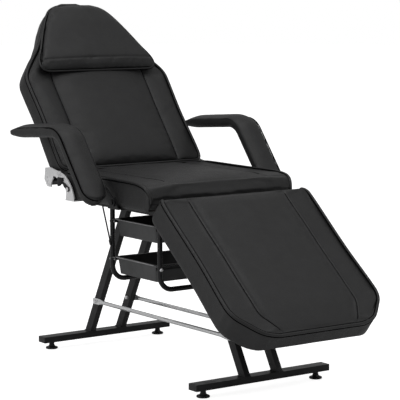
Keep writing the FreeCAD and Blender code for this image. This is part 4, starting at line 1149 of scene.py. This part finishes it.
SEAT_SHARES: Shares = (
    (0.000, 0.965, 0.05, 0.10, 0.00, 0.00), (0.025, 0.995, 0.55, 0.60, 0.00, 0.00),
    (0.090, 1.000, 0.95, 1.00, 0.00, 0.00), (0.480, 0.988, 1.00, 1.00, 0.00, 0.00),
    (0.760, 1.000, 0.98, 0.85, 0.00, 0.00), (0.840, 1.000, 0.92, 0.50, 0.01, 0.00),
    (0.920, 1.000, 0.75, 0.15, 0.06, 0.00), (0.965, 0.996, 0.55, 0.05, 0.15, 0.00),
    (0.990, 0.985, 0.30, 0.00, 0.27, 0.00), (1.000, 0.972, 0.10, 0.00, 0.38, 0.22),
)
FOOT_SHARES: Shares = (
    (0.000, 0.965, 0.05, 0.10, 0.00, 0.00), (0.020, 0.995, 0.55, 0.60, 0.00, 0.00),
    (0.080, 1.000, 0.95, 1.00, 0.00, 0.00), (0.450, 0.988, 1.00, 1.00, 0.00, 0.00),
    (0.790, 1.007, 0.98, 1.00, 0.00, 0.00), (0.850, 0.975, 0.92, 1.00, 0.00, 0.00),
    (0.900, 0.895, 0.80, 0.80, 0.00, 0.00), (0.950, 0.808, 0.60, 0.50, 0.00, 0.04),
    (0.978, 0.745, 0.35, 0.25, 0.00, 0.09), (0.992, 0.690, 0.16, 0.12, 0.01, 0.16),
    (1.000, 0.590, 0.05, 0.10, 0.02, 0.24),
)
BACK_SHARES: Shares = (
    (0.000, 0.965, 0.05, 0.10, 0.00, 0.00), (0.018, 0.995, 0.55, 0.60, 0.00, 0.00),
    (0.070, 1.000, 0.95, 1.00, 0.00, 0.00), (0.300, 0.985, 0.97, 0.85, 0.00, 0.00),
    (0.530, 1.000, 0.97, 0.85, 0.00, 0.00), (0.560, 0.985, 1.00, 0.60, 0.00, 0.00),
    (0.590, 0.945, 0.90, 0.30, 0.00, 0.00), (0.658, 0.820, 0.85, 0.15, 0.00, 0.00),
    (0.720, 0.700, 0.80, 0.12, 0.00, 0.00), (0.780, 0.605, 0.75, 0.12, 0.00, 0.00),
    (0.875, 0.478, 0.65, 0.12, 0.00, 0.00), (0.945, 0.360, 0.45, 0.12, 0.00, 0.00),
    (0.985, 0.230, 0.20, 0.12, 0.00, 0.05), (1.000, 0.130, 0.06, 0.12, 0.00, 0.14),
)


@dataclass
class SoftPad:
    """What a remeshed, blown-up pad has: its node, body, voxel size and how far its cover may move."""

    name: str
    node: str
    body: str
    voxel: float = 0.0050
    cap: float = 0.0035
    pressure: float = 4.0
    slack: float = 0.02
    shrink: float = 0.0012

    def grip(self, spot: Vector) -> float:
        """How firmly a point is held; a plain pad is held nowhere."""
        return 0.0

    def shape(self, spot: Vector) -> Vector:
        """Where a point of the remeshed solid goes before it is blown up."""
        return spot

    def fold(self, spot: Vector) -> float:
        """How far a point of the finished cover moves outwards; a plain pad has no folds."""
        return 0.0

    def cover(self) -> Mesh:
        """Remeshes the pad, blows it up against its seams and adds its folds.

        Returns:
            The finished mesh in the chair's frame.
        """
        holder = placed(self.name, mesh_of(merged(self.node), self.name))
        even = holder.modifiers.new("even", "REMESH")
        even.mode = "VOXEL"
        even.voxel_size = self.voxel
        applied(holder)
        bm = bmesh.new()
        bm.from_mesh(holder.data)
        bm.normal_update()
        inward = [vertex.normal.copy() for vertex in bm.verts]
        for vertex, normal in zip(bm.verts, inward):
            vertex.co = self.shape(vertex.co - normal * self.shrink * (1 - self.grip(vertex.co)))
        bmesh.ops.smooth_vert(bm, verts=bm.verts, factor=0.5, use_axis_x=True, use_axis_y=True,
                              use_axis_z=True)
        bm.to_mesh(holder.data)
        bm.free()
        pins = {vertex.index: self.grip(vertex.co) for vertex in holder.data.vertices}
        inflate(holder, {index: hold for index, hold in pins.items() if hold > 0.02}, self.cap,
                self.pressure, self.slack)
        refined(holder)
        shifted(holder.data, lambda spot, normal: spot + normal * self.fold(spot))
        return taken(holder)


@dataclass
class Pillow(SoftPad):
    """The head pillow: a tapered, softly rolled pad with a welt round its base."""

    name: str = "head_pillow_cover"
    node: str = "head_pillow"
    body: str = "pillow"
    start: float = 0.366
    length: float = 0.266
    half_width: float = 0.224
    low: float = 0.01404
    thickness: float = 0.026
    welt_radius: float = 0.0040
    shade_cord_radius: float = 0.0014
    crease_at: float = 0.034
    front_reach: float = 0.012
    front_sink: float = 0.0010
    front_pull: float = 0.0011
    tuck_depth: float = 0.0028
    tuck_reach: float = 0.0042
    wave: float = 0.0010
    steps_along: int = 60
    steps_across: int = 40

    def __post_init__(self) -> None:
        """Works out the pillow's place on the backrest."""
        turn = Matrix.Rotation(math.radians(BACK_ANGLE), 4, "X")
        self.place = Matrix.Translation((0, BACK_EDGE_Y + SHIFT_Y, SEAM_Z)) @ turn
        self.away = self.place.inverted()
        self.stations = Stations((
            (0.000, 0.930, 0.30), (0.035, 0.985, 0.80), (0.090, 1.000, 1.00), (0.360, 0.862, 1.00),
            (0.700, 0.661, 1.00), (0.890, 0.513, 0.85), (0.962, 0.410, 0.60), (1.000, 0.295, 0.25)))

    def grip(self, spot: Vector) -> float:
        """Holds the underside and the welt's line."""
        x, y, z = self.away @ spot
        if z < self.low + 0.002:
            return 1.0
        half = self.stations.read((y - self.start) / self.length)[0] * self.half_width
        edge = min(half - abs(x), y - self.start, self.start + self.length - y)
        return 0.7 * bell(z - self.low - 0.004, 0.004) if edge < 0.006 else 0.0

    def fold(self, spot: Vector) -> float:
        """Soft pulls along the front roll and from the welt."""
        x, y, z = self.away @ spot
        if z < self.low + 0.003:
            return 0.0
        gone = y - self.start - self.crease_at + 0.003 * wobble(x * 9, 0, 3.3)
        near_front = bell(gone, self.front_reach)
        pull = wobble(x * 34, y * 10, 2.2) * self.front_pull * near_front
        tucked = self.tuck_depth * bell(gone, self.tuck_reach) + self.front_sink * near_front
        return pull - tucked + wobble(x * 15, y * 15, 7.1) * self.wave

    def welt_path(self, lift: float, inset: float) -> list[Vector]:
        """The closed line round the pillow's widest edge.

        Args:
            lift: How far above the widest line it runs.
            inset: How far inside the pillow's outline it runs.

        Returns:
            The line's points in the chair's frame.
        """
        right = []
        for i in range(self.steps_along + 1):
            width, rise = self.stations.read(i / self.steps_along)
            high = self.low + self.thickness / 2 * (0.35 + 0.65 * rise) + lift
            run = inset + (self.length - 2 * inset) * i / self.steps_along
            right.append(Vector((width * self.half_width - inset, self.start + run, high)))
        left = [Vector((-spot.x, spot.y, spot.z)) for spot in reversed(right)]
        shares = [1 - 2 * i / self.steps_across for i in range(1, self.steps_across)]
        back, front = ([Vector((side * end.x * share, end.y, end.z)) for share in shares]
                       for side, end in ((1, right[-1]), (-1, right[0])))
        return [self.place @ spot for spot in evened(right + back + left + front, 3)]

    def build(self) -> None:
        """Makes the pillow, its welt and the near-black cords of painted crease shade along it."""
        piece = mesh_piece(self.cover(), self.name, self.body, UPHOLSTERY, [self.node])
        # The upper and lower crease cords are near-black painted shade beside the welt.
        for part, lift, inset, radius, sides, finish in (
                ("welt", 0.0, 0.0006, self.welt_radius, 3, PIPING),
                ("upper_crease_painted_shade", self.welt_radius + 0.0008, 0.0024, self.shade_cord_radius, 1, PAINTED_CREASE_SHADE),
                ("lower_crease_painted_shade", -0.0026, -0.0020, self.shade_cord_radius, 1, PAINTED_CREASE_SHADE)):
            cord = tube(self.welt_path(lift, inset), radius, True, sides)
            mesh_piece(cord, "head_pillow_" + part, self.body, finish)


@dataclass
class ArmPad(SoftPad):
    """A bent armrest pad, its crown outside the bend, sewn along both edges and creased inside the bend."""

    name: str = "armrest_pad_left_cover"
    node: str = "armrest_pad_left"
    body: str = "arm_left"
    tip: tuple[float, float] = (0.420, 0.743)
    bend: tuple[float, float] = (0.102, 0.766)
    foot: tuple[float, float] = (-0.067, 0.553)
    bend_radius: float = 0.090
    inner_x: float = 0.298
    width: float = 0.088
    thickness: float = 0.031
    welt_radius: float = 0.0021
    inner_share: float = 0.6
    cap: float = 0.0030
    slack: float = 0.0
    nose_length: float = 0.105
    nose_depth: float = 0.015
    nose_power: float = 2.3
    nose_least: float = 0.10
    pocket: float = 0.009
    low_edge: float = 0.014
    pinch: float = 0.16
    crease_pitch: float = 0.011
    crease_depth: float = 0.0011
    seam_pull: float = 0.0007
    pull_reach: float = 0.012
    wave: float = 0.0006
    seam_steps: int = 130

    def __post_init__(self) -> None:
        """Works out the pad's seam line: two straight runs and the arc between them."""
        tip, bend, foot = (Vector((0, y + SHIFT_Y, z)) for y, z in (self.tip, self.bend, self.foot))
        self.back = (tip - bend).normalized()
        self.down = (foot - bend).normalized()
        half_turn = self.back.angle(self.down) / 2
        run = self.bend_radius / math.tan(half_turn)
        inwards = (self.back + self.down).normalized()
        self.centre = bend + inwards * (self.bend_radius / math.sin(half_turn))
        self.bend_start = bend + self.back * run
        self.bend_end = bend + self.down * run
        self.first_out = (self.bend_start - self.centre).normalized()
        self.last_out = (self.bend_end - self.centre).normalized()
        self.first = (tip - self.bend_start).length
        self.arc = self.bend_radius * (math.pi - 2 * half_turn)
        self.total = self.first + self.arc + (foot - self.bend_end).length
        self.tip_spot = tip
        self.middle_x = self.inner_x + self.width / 2

    def line(self, run: float) -> tuple[Vector, Vector]:
        """A point of the seam line and the outward direction there.

        Args:
            run: The distance from the rear tip.

        Returns:
            The point and the direction in which the crown stands.
        """
        if run <= self.first:
            return self.tip_spot - self.back * run, self.first_out
        if run >= self.first + self.arc:
            return self.bend_end + self.down * (run - self.first - self.arc), self.last_out
        way = self.first_out.slerp(self.last_out, (run - self.first) / self.arc)
        return self.centre + way * self.bend_radius, way

    def measure(self, spot: Vector) -> tuple[float, float]:
        """Where a point lies against the seam line.

        Args:
            spot: The point, on either side of the chair.

        Returns:
            Its distance along the line from the tip and its depth below the line.
        """
        flat = Vector((0, spot.y, spot.z))
        away = flat - self.centre
        along_first = (self.tip_spot - flat).dot(self.back)
        along_last = (flat - self.bend_end).dot(self.down)
        if along_first < self.first and away.dot(self.back) > 0:
            return along_first, -(flat - self.bend_start).dot(self.first_out)
        if along_last > 0 and away.dot(self.down) > 0:
            return self.first + self.arc + along_last, -(flat - self.bend_end).dot(self.last_out)
        return (self.first + self.bend_radius * self.first_out.angle(away),
                self.bend_radius - away.length)

    def nose(self, run: float) -> float:
        """The share of the pad's thickness left at a distance from its rear tip."""
        gone = 1 - min(max(run, 0.0) / self.nose_length, 1.0)
        return max(self.nose_least, 1 - gone**self.nose_power)

    def shape(self, spot: Vector) -> Vector:
        """Thins the rear nose and rounds the lower edges."""
        run, deep = self.measure(spot)
        moved = (deep - self.nose_depth) * (1 - self.nose(run))
        low = max(0.0, (deep - self.low_edge) / (self.thickness - self.low_edge))
        aside = spot.x - math.copysign(self.middle_x, spot.x)
        pinch = aside * self.pinch * low * low * min(1.0, max(0.0, (abs(aside) - 0.018) / 0.020))
        return spot + self.line(run)[1] * moved - Vector((pinch, 0, 0))

    def grip(self, spot: Vector) -> float:
        """Holds the underside, the pocket of the steel bar and the two sewn edges."""
        run, deep = self.measure(spot)
        if deep > self.thickness - self.pocket:
            return 1.0
        edge = self.width / 2 - abs(abs(spot.x) - self.middle_x)
        return 0.8 * bell(deep, 0.003) if min(edge, run, self.total - run) < 0.012 else 0.0

    def fold(self, spot: Vector) -> float:
        """Creases inside the bend, pulls along the seams and soft waves."""
        run, deep = self.measure(spot)
        if deep > self.thickness - 0.008:
            return 0.0
        middle = self.first + self.arc / 2
        near = bell(run - middle, self.arc * 0.42)
        ripple = math.cos((run - middle) / self.crease_pitch + 1.2 * noise.noise(spot * 30))
        crease = near * min(1.0, max(0.0, deep / self.thickness)) * ripple * self.crease_depth
        pull = wobble(run * 60, spot.x * 20, 1.0) * self.seam_pull * math.exp(-abs(deep) / self.pull_reach)
        return crease + pull + noise.noise(spot * 16) * self.wave

    def seam_path(self, aside: float) -> list[Vector]:
        """One edge's seam from the rear nose to the foot; it sinks into the cover along the rear run.

        Args:
            aside: 1 for the inner edge, -1 for the outer one, on the pad at +X.

        Returns:
            The line's points.
        """
        radius = self.width / 2
        path = []
        for i in range(self.seam_steps + 1):
            run = self.total * i / self.seam_steps
            short = max(0.0, radius - min(run, self.total - run))
            round_off = radius - math.sqrt(max(0.0, radius**2 - short**2))
            rear = min(1.0, max(0.0, (self.first + 0.015 - run) / 0.050))
            spot, out = self.line(run)
            sunk = 0.0008 + self.nose_depth * (1 - self.nose(run))
            across = max(0.0, radius - round_off - 0.0012 - 0.0046 * rear)
            path.append(spot - out * sunk + Vector((self.middle_x - aside * across, 0, 0)))
        return path

    def build(self) -> None:
        """Makes the left pad, its welted inner seam, the near-black cord of painted shade along its outer
        seam, and their mirrored twins on the right.
        """
        away = Matrix.Scale(-1, 4, (1, 0, 0))
        parts = [(self.cover(), "armrest_pad_%s_cover", UPHOLSTERY)]
        # The outer seam is a near-black cord of painted shade; the inner seam is welt leather.
        for edge, aside, share, finish in (("outer", -1.0, 1.0, PAINTED_CREASE_SHADE),
                                           ("inner", 1.0, self.inner_share, PIPING)):
            seam = tube(self.seam_path(aside), self.welt_radius * share, False)
            seam.transform(away)
            seam.flip_normals()
            parts.append((seam, "armrest_" + edge + "_seam_%s", finish))
        for label in ("left", "right"):
            for mesh, part, finish in parts:
                twin = mesh.copy()
                if label == "right":
                    twin.transform(away)
                    twin.flip_normals()
                nodes = ["armrest_pad_" + label] if finish is UPHOLSTERY else []
                piece = mesh_piece(twin, part % label, "arm_" + label, finish, nodes)


# ---------------------------------------------------------------- steel and plastic


@dataclass
class TrestleBase:
    """The base: two flat floor tubes, four leaning legs, two chromed tie bars, caps, feet and welds."""

    edge: float = 0.0011
    cap_edge: float = 0.0006
    weld_radius: float = 0.0017
    weld_step: float = 0.0022
    weld_roughness: float = 0.0005
    weld_grow: float = 0.0006
    weld_lift: float = 0.0008
    leg_cut: float = 0.0345
    foot_x: float = 0.213
    spread: float = 0.860
    collar_radius: float = 0.0088
    collar_height: float = 0.0042
    collar_z: float = 0.0188
    foot_profile: tuple[tuple[float, float], ...] = (
        (0.0, 0.0), (0.0176, 0.0), (0.0192, 0.0006), (0.0200, 0.0020), (0.0200, 0.0044), (0.0193, 0.0058),
        (0.0176, 0.0066), (0.0150, 0.0070), (0.0122, 0.0078), (0.0106, 0.0098), (0.0094, 0.0126),
        (0.0086, 0.0155), (0.0082, 0.0176), (0.0082, 0.0222), (0.0074, 0.0233), (0.0040, 0.0233),
        (0.0040, 0.0350), (0.0, 0.0352))

    def foot(self, end: str, label: str) -> None:
        """Turns a levelling foot with a six-sided collar under the tube.

        Args:
            end: Front or rear.
            label: Left or right.
        """
        bm = spun(self.foot_profile, 40)
        made = bmesh.ops.create_circle(bm, cap_ends=True, segments=6, radius=self.collar_radius)["verts"]
        face = next(face for face in made[0].link_faces if set(face.verts) == set(made))
        grown = bmesh.ops.extrude_face_region(bm, geom=[face])["geom"]
        top = [item for item in grown if isinstance(item, BMVert)]
        bmesh.ops.translate(bm, verts=top, vec=(0, 0, self.collar_height))
        bmesh.ops.translate(bm, verts=list(set(made) | set(top)), vec=(0, 0, self.collar_z))
        bmesh.ops.recalc_face_normals(bm, faces=bm.faces)
        smooth(bm)
        x = self.foot_x * (-1 if label == "left" else 1)
        y = self.spread / 2 * (-1 if end == "front" else 1) + SHIFT_Y
        bmesh.ops.translate(bm, verts=bm.verts, vec=(x, y, 0))
        node = f"levelling_foot_{end}_{label}"
        as_piece(bm, node + "_turned", body_of(node), FOOT_SKIN, [node])

    def weld(self, name: str, corners: Sequence[Vector]) -> None:
        """Runs an uneven weld bead round a joint.

        Args:
            name: The piece's name.
            corners: The joint's corners in order.
        """
        path = []
        for a, b in zip(corners, [*corners[1:], corners[0]]):
            steps = max(3, round((b - a).length / self.weld_step))
            path += [a + (b - a) * (i / steps) for i in range(steps)]

        def uneven(spot: Vector, _: Vector) -> Vector:
            """Roughens a point of the bead."""
            spot.z += self.weld_roughness * noise.noise(spot * 420)
            spot.y += self.weld_roughness * noise.noise(spot * 390 + Vector((3, 1, 2)))
            return spot

        mesh = tube(path, self.weld_radius, True, 1)
        shifted(mesh, uneven)
        mesh_piece(mesh, name, "chair_base", FRAME_COAT)

    def leg(self, end: str, label: str) -> None:
        """Dresses a leg and welds both its ends.

        Args:
            end: Front or rear.
            label: Left or right.
        """
        node = f"leg_{end}_{label}"
        eased_copy(node, FRAME_COAT, self.edge)
        low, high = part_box(node)
        grow = self.weld_grow
        for place, z in (("foot", low.z + self.weld_lift), ("head", high.z - self.weld_lift)):
            start = low.y if (place == "foot") == (end == "front") else high.y - self.leg_cut
            near, far = start - grow, start + self.leg_cut + grow
            self.weld(f"weld_{node}_{place}", [
                Vector((low.x - grow, near, z)), Vector((high.x + grow, near, z)),
                Vector((high.x + grow, far, z)), Vector((low.x - grow, far, z))])

    def build(self) -> None:
        """Dresses the base."""
        for end in ("front", "rear"):
            eased_copy("base_tube_" + end, FRAME_COAT, self.edge)
            for label in ("left", "right"):
                self.leg(end, label)
        eased_copy("base_end_caps", FOOT_SKIN, self.cap_edge)
        dress_nodes(CHROME, "tie_bar_left", "tie_bar_right")
        for end in ("front", "rear"):
            for label in ("left", "right"):
                self.foot(end, label)


@dataclass
class Undercarriage:
    """The tube frames under the three cushions with their boards and bolts."""

    edge: float = 0.0011
    rails: tuple[str, ...] = (
        "seat_rail_left", "seat_rail_right", "back_rail_left", "back_rail_right", "foot_rail_left",
        "foot_rail_right", "seat_cross_front", "seat_cross_rear", "back_cross_lower", "back_cross_upper",
        "foot_cross")

    def build(self) -> None:
        """Dresses rails, cross tubes, boards and bolts."""
        for node in self.rails:
            eased_copy(node, FRAME_COAT, self.edge)
        dress_nodes(BOARD, "seat_board", "backrest_board", "footrest_board")
        dress_nodes(ZINC, "seat_frame_bolts", "back_frame_bolts", "foot_frame_bolts", "seat_flange_screws",
                    "footrest_hinge_pins", "tie_bar_bolts")


@dataclass
class RatchetHinge:
    """The backrest's joint: bright arched plates, sectors dark below the pin, pawls and pins."""

    edge: float = 0.0006
    hub: tuple[float, float] = (0.2564, 0.600)
    split: tuple[float, float] = (0.026, -0.006)

    def sector(self, label: str) -> None:
        """Dresses one toothed plate: bright arms and hub, dark steel below the pin and in front of the
        split.

        Args:
            label: Left or right.
        """
        node = "ratchet_sector_" + label
        y = self.hub[0] + SHIFT_Y + self.split[0]
        z = self.hub[1] + self.split[1]
        bm = merged(node)
        for spot, way in (((0, 0, z), (0, 0, 1)), ((0, y, 0), (0, 1, 0))):
            geometry = list(bm.verts) + list(bm.edges) + list(bm.faces)
            bmesh.ops.bisect_plane(bm, geom=geometry, dist=MERGE, plane_co=spot, plane_no=way)
        ease(bm, self.edge)
        smooth(bm)
        # Faces below the pin and in front of the split take the dark steel finish.
        for face in bm.faces:
            middle = face.calc_center_median()
            face.material_index = int(middle.z < z and middle.y < y)
        piece = as_piece(bm, node + "_dressed", "backrest", ZINC, [node])
        piece.data.materials.append(BLACKENED.material())

    def build(self) -> None:
        """Dresses the plates, pawls, pins and bolts of both sides."""
        for label in ("left", "right"):
            eased_copy("back_hinge_arch_" + label, ZINC, self.edge)
            eased_copy("pawl_" + label, BLACKENED, self.edge)
            self.sector(label)
        dress_nodes(ZINC, "back_hinge_pins", "sector_bolts")


@dataclass
class ArmSteel:
    """The armrests' bent bars, mounting plates and pivots."""

    edge: float = 0.0007

    def build(self) -> None:
        """Dresses the steel of both armrests."""
        for label in ("left", "right"):
            eased_copy("armrest_bracket_" + label, FRAME_COAT, self.edge)
            eased_copy("arm_mount_plate_" + label, FRAME_COAT, self.edge)
        dress_nodes(BLACKENED, "arm_pivot_pins")


@dataclass
class Trays:
    """Two moulded trays on runners between two bent tube hoops."""

    edge: float = 0.0009
    runner_edge: float = 0.0004
    bead_radius: float = 0.0018
    bead_inset: float = 0.0150
    bead_sink: float = 0.0006
    rim_thickness: float = 0.0030
    lip: float = 0.0034
    lip_reach: float = 0.02

    def beads(self, node: str) -> None:
        """Adds the rolled edges at a tray's two ends, light grey as a painted highlight.

        Args:
            node: The tray.
        """
        low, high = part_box(node)
        for label, x in (("near", low[0] + self.bead_sink), ("far", high[0] - self.bead_sink)):
            z = high[2] - self.rim_thickness / 2
            path = [Vector((x, y, z)) for y in (low[1] + self.bead_inset, high[1] - self.bead_inset)]
            bead = tube(path, self.bead_radius, False)
            # The bead's light grey finish is a painted highlight along the rim.
            mesh_piece(bead, f"{node}_{label}_bead", body_of(node), PAINTED_RIM_HIGHLIGHT)

    def runners(self) -> None:
        """Dresses the dark runners; the faces level with the trays' rims take the bright zinc finish as a
        painted highlight.
        """
        bm = merged("tray_runners")
        ease(bm, self.runner_edge)
        smooth(bm)
        tops = [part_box("tray_upper")[1][2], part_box("tray_lower")[1][2]]
        for face in bm.faces:
            z = face.calc_center_median().z
            # Faces level with the trays' rims take the bright zinc finish: a painted highlight.
            face.material_index = int(any(top - self.lip < z < top + self.lip_reach for top in tops))
        piece = as_piece(bm, "tray_runners_dressed", body_of("tray_runners"), FRAME_COAT, ["tray_runners"])
        piece.data.materials.append(ZINC.material())

    def build(self) -> None:
        """Dresses trays, hoops, runners and bolts."""
        for node in ("tray_upper", "tray_lower"):
            eased_copy(node, TRAY_SKIN, self.edge)
            self.beads(node)
        dress_nodes(TUBE_COAT, "tray_hoop_front", "tray_hoop_rear")
        self.runners()
        dress_nodes(ZINC, "tray_runner_bolts")


@dataclass
class ReleaseLever:
    """The thin bent rod that lifts the pawls, with a ribbed grip."""

    start: tuple[float, float, float] = (-0.190, 0.150, 0.5145)
    reach: tuple[float, float, float] = (0.0, -0.047, -0.118)
    hold: float = 0.006
    grip_length: float = 0.018
    ribs: int = 5
    rib_pitch: float = 0.0028

    def build(self) -> None:
        """Dresses the rod and turns its grip."""
        dress_nodes(FRAME_COAT, "release_lever")
        reach = Vector(self.reach)
        way = reach.normalized()
        base = Vector(self.start) + Vector((0, SHIFT_Y, 0)) + way * (reach.length - self.hold)
        profile = [(0.0, 0.0), (0.0036, 0.0), (0.0044, 0.0006)]
        for rib in range(self.ribs):
            low = 0.0016 + rib * self.rib_pitch
            profile += [(0.0048, low), (0.0048, low + 0.0016), (0.0042, low + 0.0021)]
        profile += [(0.0046, self.grip_length - 0.002), (0.0034, self.grip_length - 0.0005),
                    (0.0, self.grip_length)]
        bm = spun(profile, 28)
        smooth(bm, 40)
        turn = Vector((0, 0, 1)).rotation_difference(way).to_matrix().to_4x4()
        bmesh.ops.transform(bm, matrix=Matrix.Translation(base) @ turn, verts=bm.verts)
        as_piece(bm, "release_grip_turned", "lever", FOOT_SKIN, ["release_grip"])


# ---------------------------------------------------------------- studio


@dataclass
class Studio:
    """The plain floor, the soft lamps, the pale surroundings and the camera.

    Each lamp has its place, its side in metres and its power in watts. The surroundings are brightest
    towards the backdrop's direction and darkest away from it.
    """

    azimuth: float = -35.75
    elevation: float = 6.98
    lens: float = 157.8
    spot: tuple[float, float, float] = (-3.1621, -4.49875, 1.1991)
    aim: tuple[float, float, float] = (0, 0, 0.6)
    floor_radius: float = 30.0
    floor_white: float = 0.86
    backdrop: tuple[float, float, float] = (-0.15, 0.37, 0.92)
    turn_range: tuple[float, float] = (-0.50, 0.85)
    levels: tuple[float, float] = (0.04, 0.47)
    lamps: tuple[tuple[str, tuple[float, float, float], float, float], ...] = (
        ("key_left", (-4.2, 0.6, 2.2), 2.4, 32.0),
        ("fill_right", (2.6, -3.2, 2.4), 2.4, 16.0),
        ("top", (-0.4, -0.6, 4.0), 2.6, 34.0),
    )

    def camera(self) -> None:
        """Sets the camera at the photograph's viewpoint."""
        a, e = math.radians(self.azimuth), math.radians(self.elevation)
        back = Vector((math.sin(a) * math.cos(e), -math.cos(a) * math.cos(e), math.sin(e)))
        right = Vector((math.cos(a), math.sin(a), 0))
        data = bpy.data.cameras.new("viewpoint")
        data.lens = self.lens
        data.sensor_width = 36.0
        data.clip_end = 100.0
        holder = placed("viewpoint", data)
        turn = Matrix((right, back.cross(right), back)).transposed().to_4x4()
        holder.matrix_world = Matrix.Translation(self.spot) @ turn
        bpy.context.scene.camera = holder

    def hang_lamps(self) -> None:
        """Hangs the soft square lamps, all aimed at the chair's middle."""
        for name, place, size, power in self.lamps:
            data = bpy.data.lights.new(name, "AREA")
            data.shape = "SQUARE"
            data.size = size
            data.energy = power
            spot = Vector(place)
            turn = (spot - Vector(self.aim)).to_track_quat("Z", "Y").to_matrix().to_4x4()
            placed(name, data).matrix_world = Matrix.Translation(spot) @ turn

    def surroundings(self) -> None:
        """Gives a pale world that is white where the camera sees it directly."""
        world = bpy.data.worlds.new("studio")
        bpy.context.scene.world = world
        world.use_nodes = True
        graph = Graph(world.node_tree)
        direction = graph.add("TexCoord").outputs["Generated"]
        turned = graph.add("VectorMath", {0: direction, 1: self.backdrop}, operation="DOT_PRODUCT")
        soft = graph.ranged(turned.outputs["Value"], *self.turn_range, *self.levels)
        seen = graph.add("LightPath").outputs["Is Camera Ray"]
        strength = graph.add("MapRange", {0: seen, 1: 0.0, 2: 1.0, 3: soft, 4: 1.0})
        graph.feed(world.node_tree.nodes["Background"],
                   {"Color": (1, 1, 1, 1), "Strength": strength.outputs[0]})

    def floor(self) -> None:
        """Lays the pale floor."""
        bm = bmesh.new()
        bmesh.ops.create_circle(bm, cap_ends=True, segments=96, radius=self.floor_radius)
        slab = placed("floor", mesh_of(bm, "floor"))
        made = bpy.data.materials.new("pale_floor")
        made.use_nodes = True
        graph = Graph(made.node_tree)
        seen = graph.add("LightPath").outputs["Is Camera Ray"]
        graph.feed(made.node_tree.nodes["Principled BSDF"],
                   {"Base Color": (0.80, 0.80, 0.80, 1), "Roughness": 0.9, "Specular IOR Level": 0.1,
                    "Emission Color": (1, 1, 1, 1),
                    "Emission Strength": graph.math("MULTIPLY", seen, self.floor_white)})
        slab.data.materials.append(made)

    def build(self) -> None:
        """Sets up the whole studio."""
        self.camera()
        self.surroundings()
        self.floor()
        self.hang_lamps()
        bpy.context.scene.view_settings.view_transform = "Standard"


# ---------------------------------------------------------------- the chair


def cushions() -> list[Cushion]:
    """The three cushions: seat, footrest and backrest."""
    return [
        Cushion("seat_cushion_cover", "seat_cushion", "chair_base", 0.236, SEAM_Z, 0.0, -1, 0.474, 0.090,
                SEAT_SHARES, 64, 0.0315, board_near=0.0095, wrapped_end=1, end_insets=(0.0076, 0.0030)),
        Cushion("footrest_cushion_cover", "footrest_cushion", "footrest", -0.300, 0.579, 39.8, -1, 0.552,
                0.088, FOOT_SHARES, 74, 0.039, wrapped_end=0, end_insets=(0.0030, 0.0076)),
        Cushion("backrest_cushion_cover", "backrest_cushion", "backrest", BACK_EDGE_Y, SEAM_Z, BACK_ANGLE, 1,
                0.659, 0.066, BACK_SHARES, 84, 0.037, side_rows=8),
    ]


def main() -> None:
    """Builds the chair assembly by assembly."""
    logging.basicConfig(level=logging.INFO, format="%(message)s")
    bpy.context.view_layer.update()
    for assembly in (Studio(), *cushions(), Pillow(), ArmPad(), TrestleBase(), Undercarriage(),
                     RatchetHinge(), ArmSteel(), Trays(), ReleaseLever()):
        assembly.build()
        log.info("%s done", type(assembly).__name__)


if __name__ == "__main__":
    main()
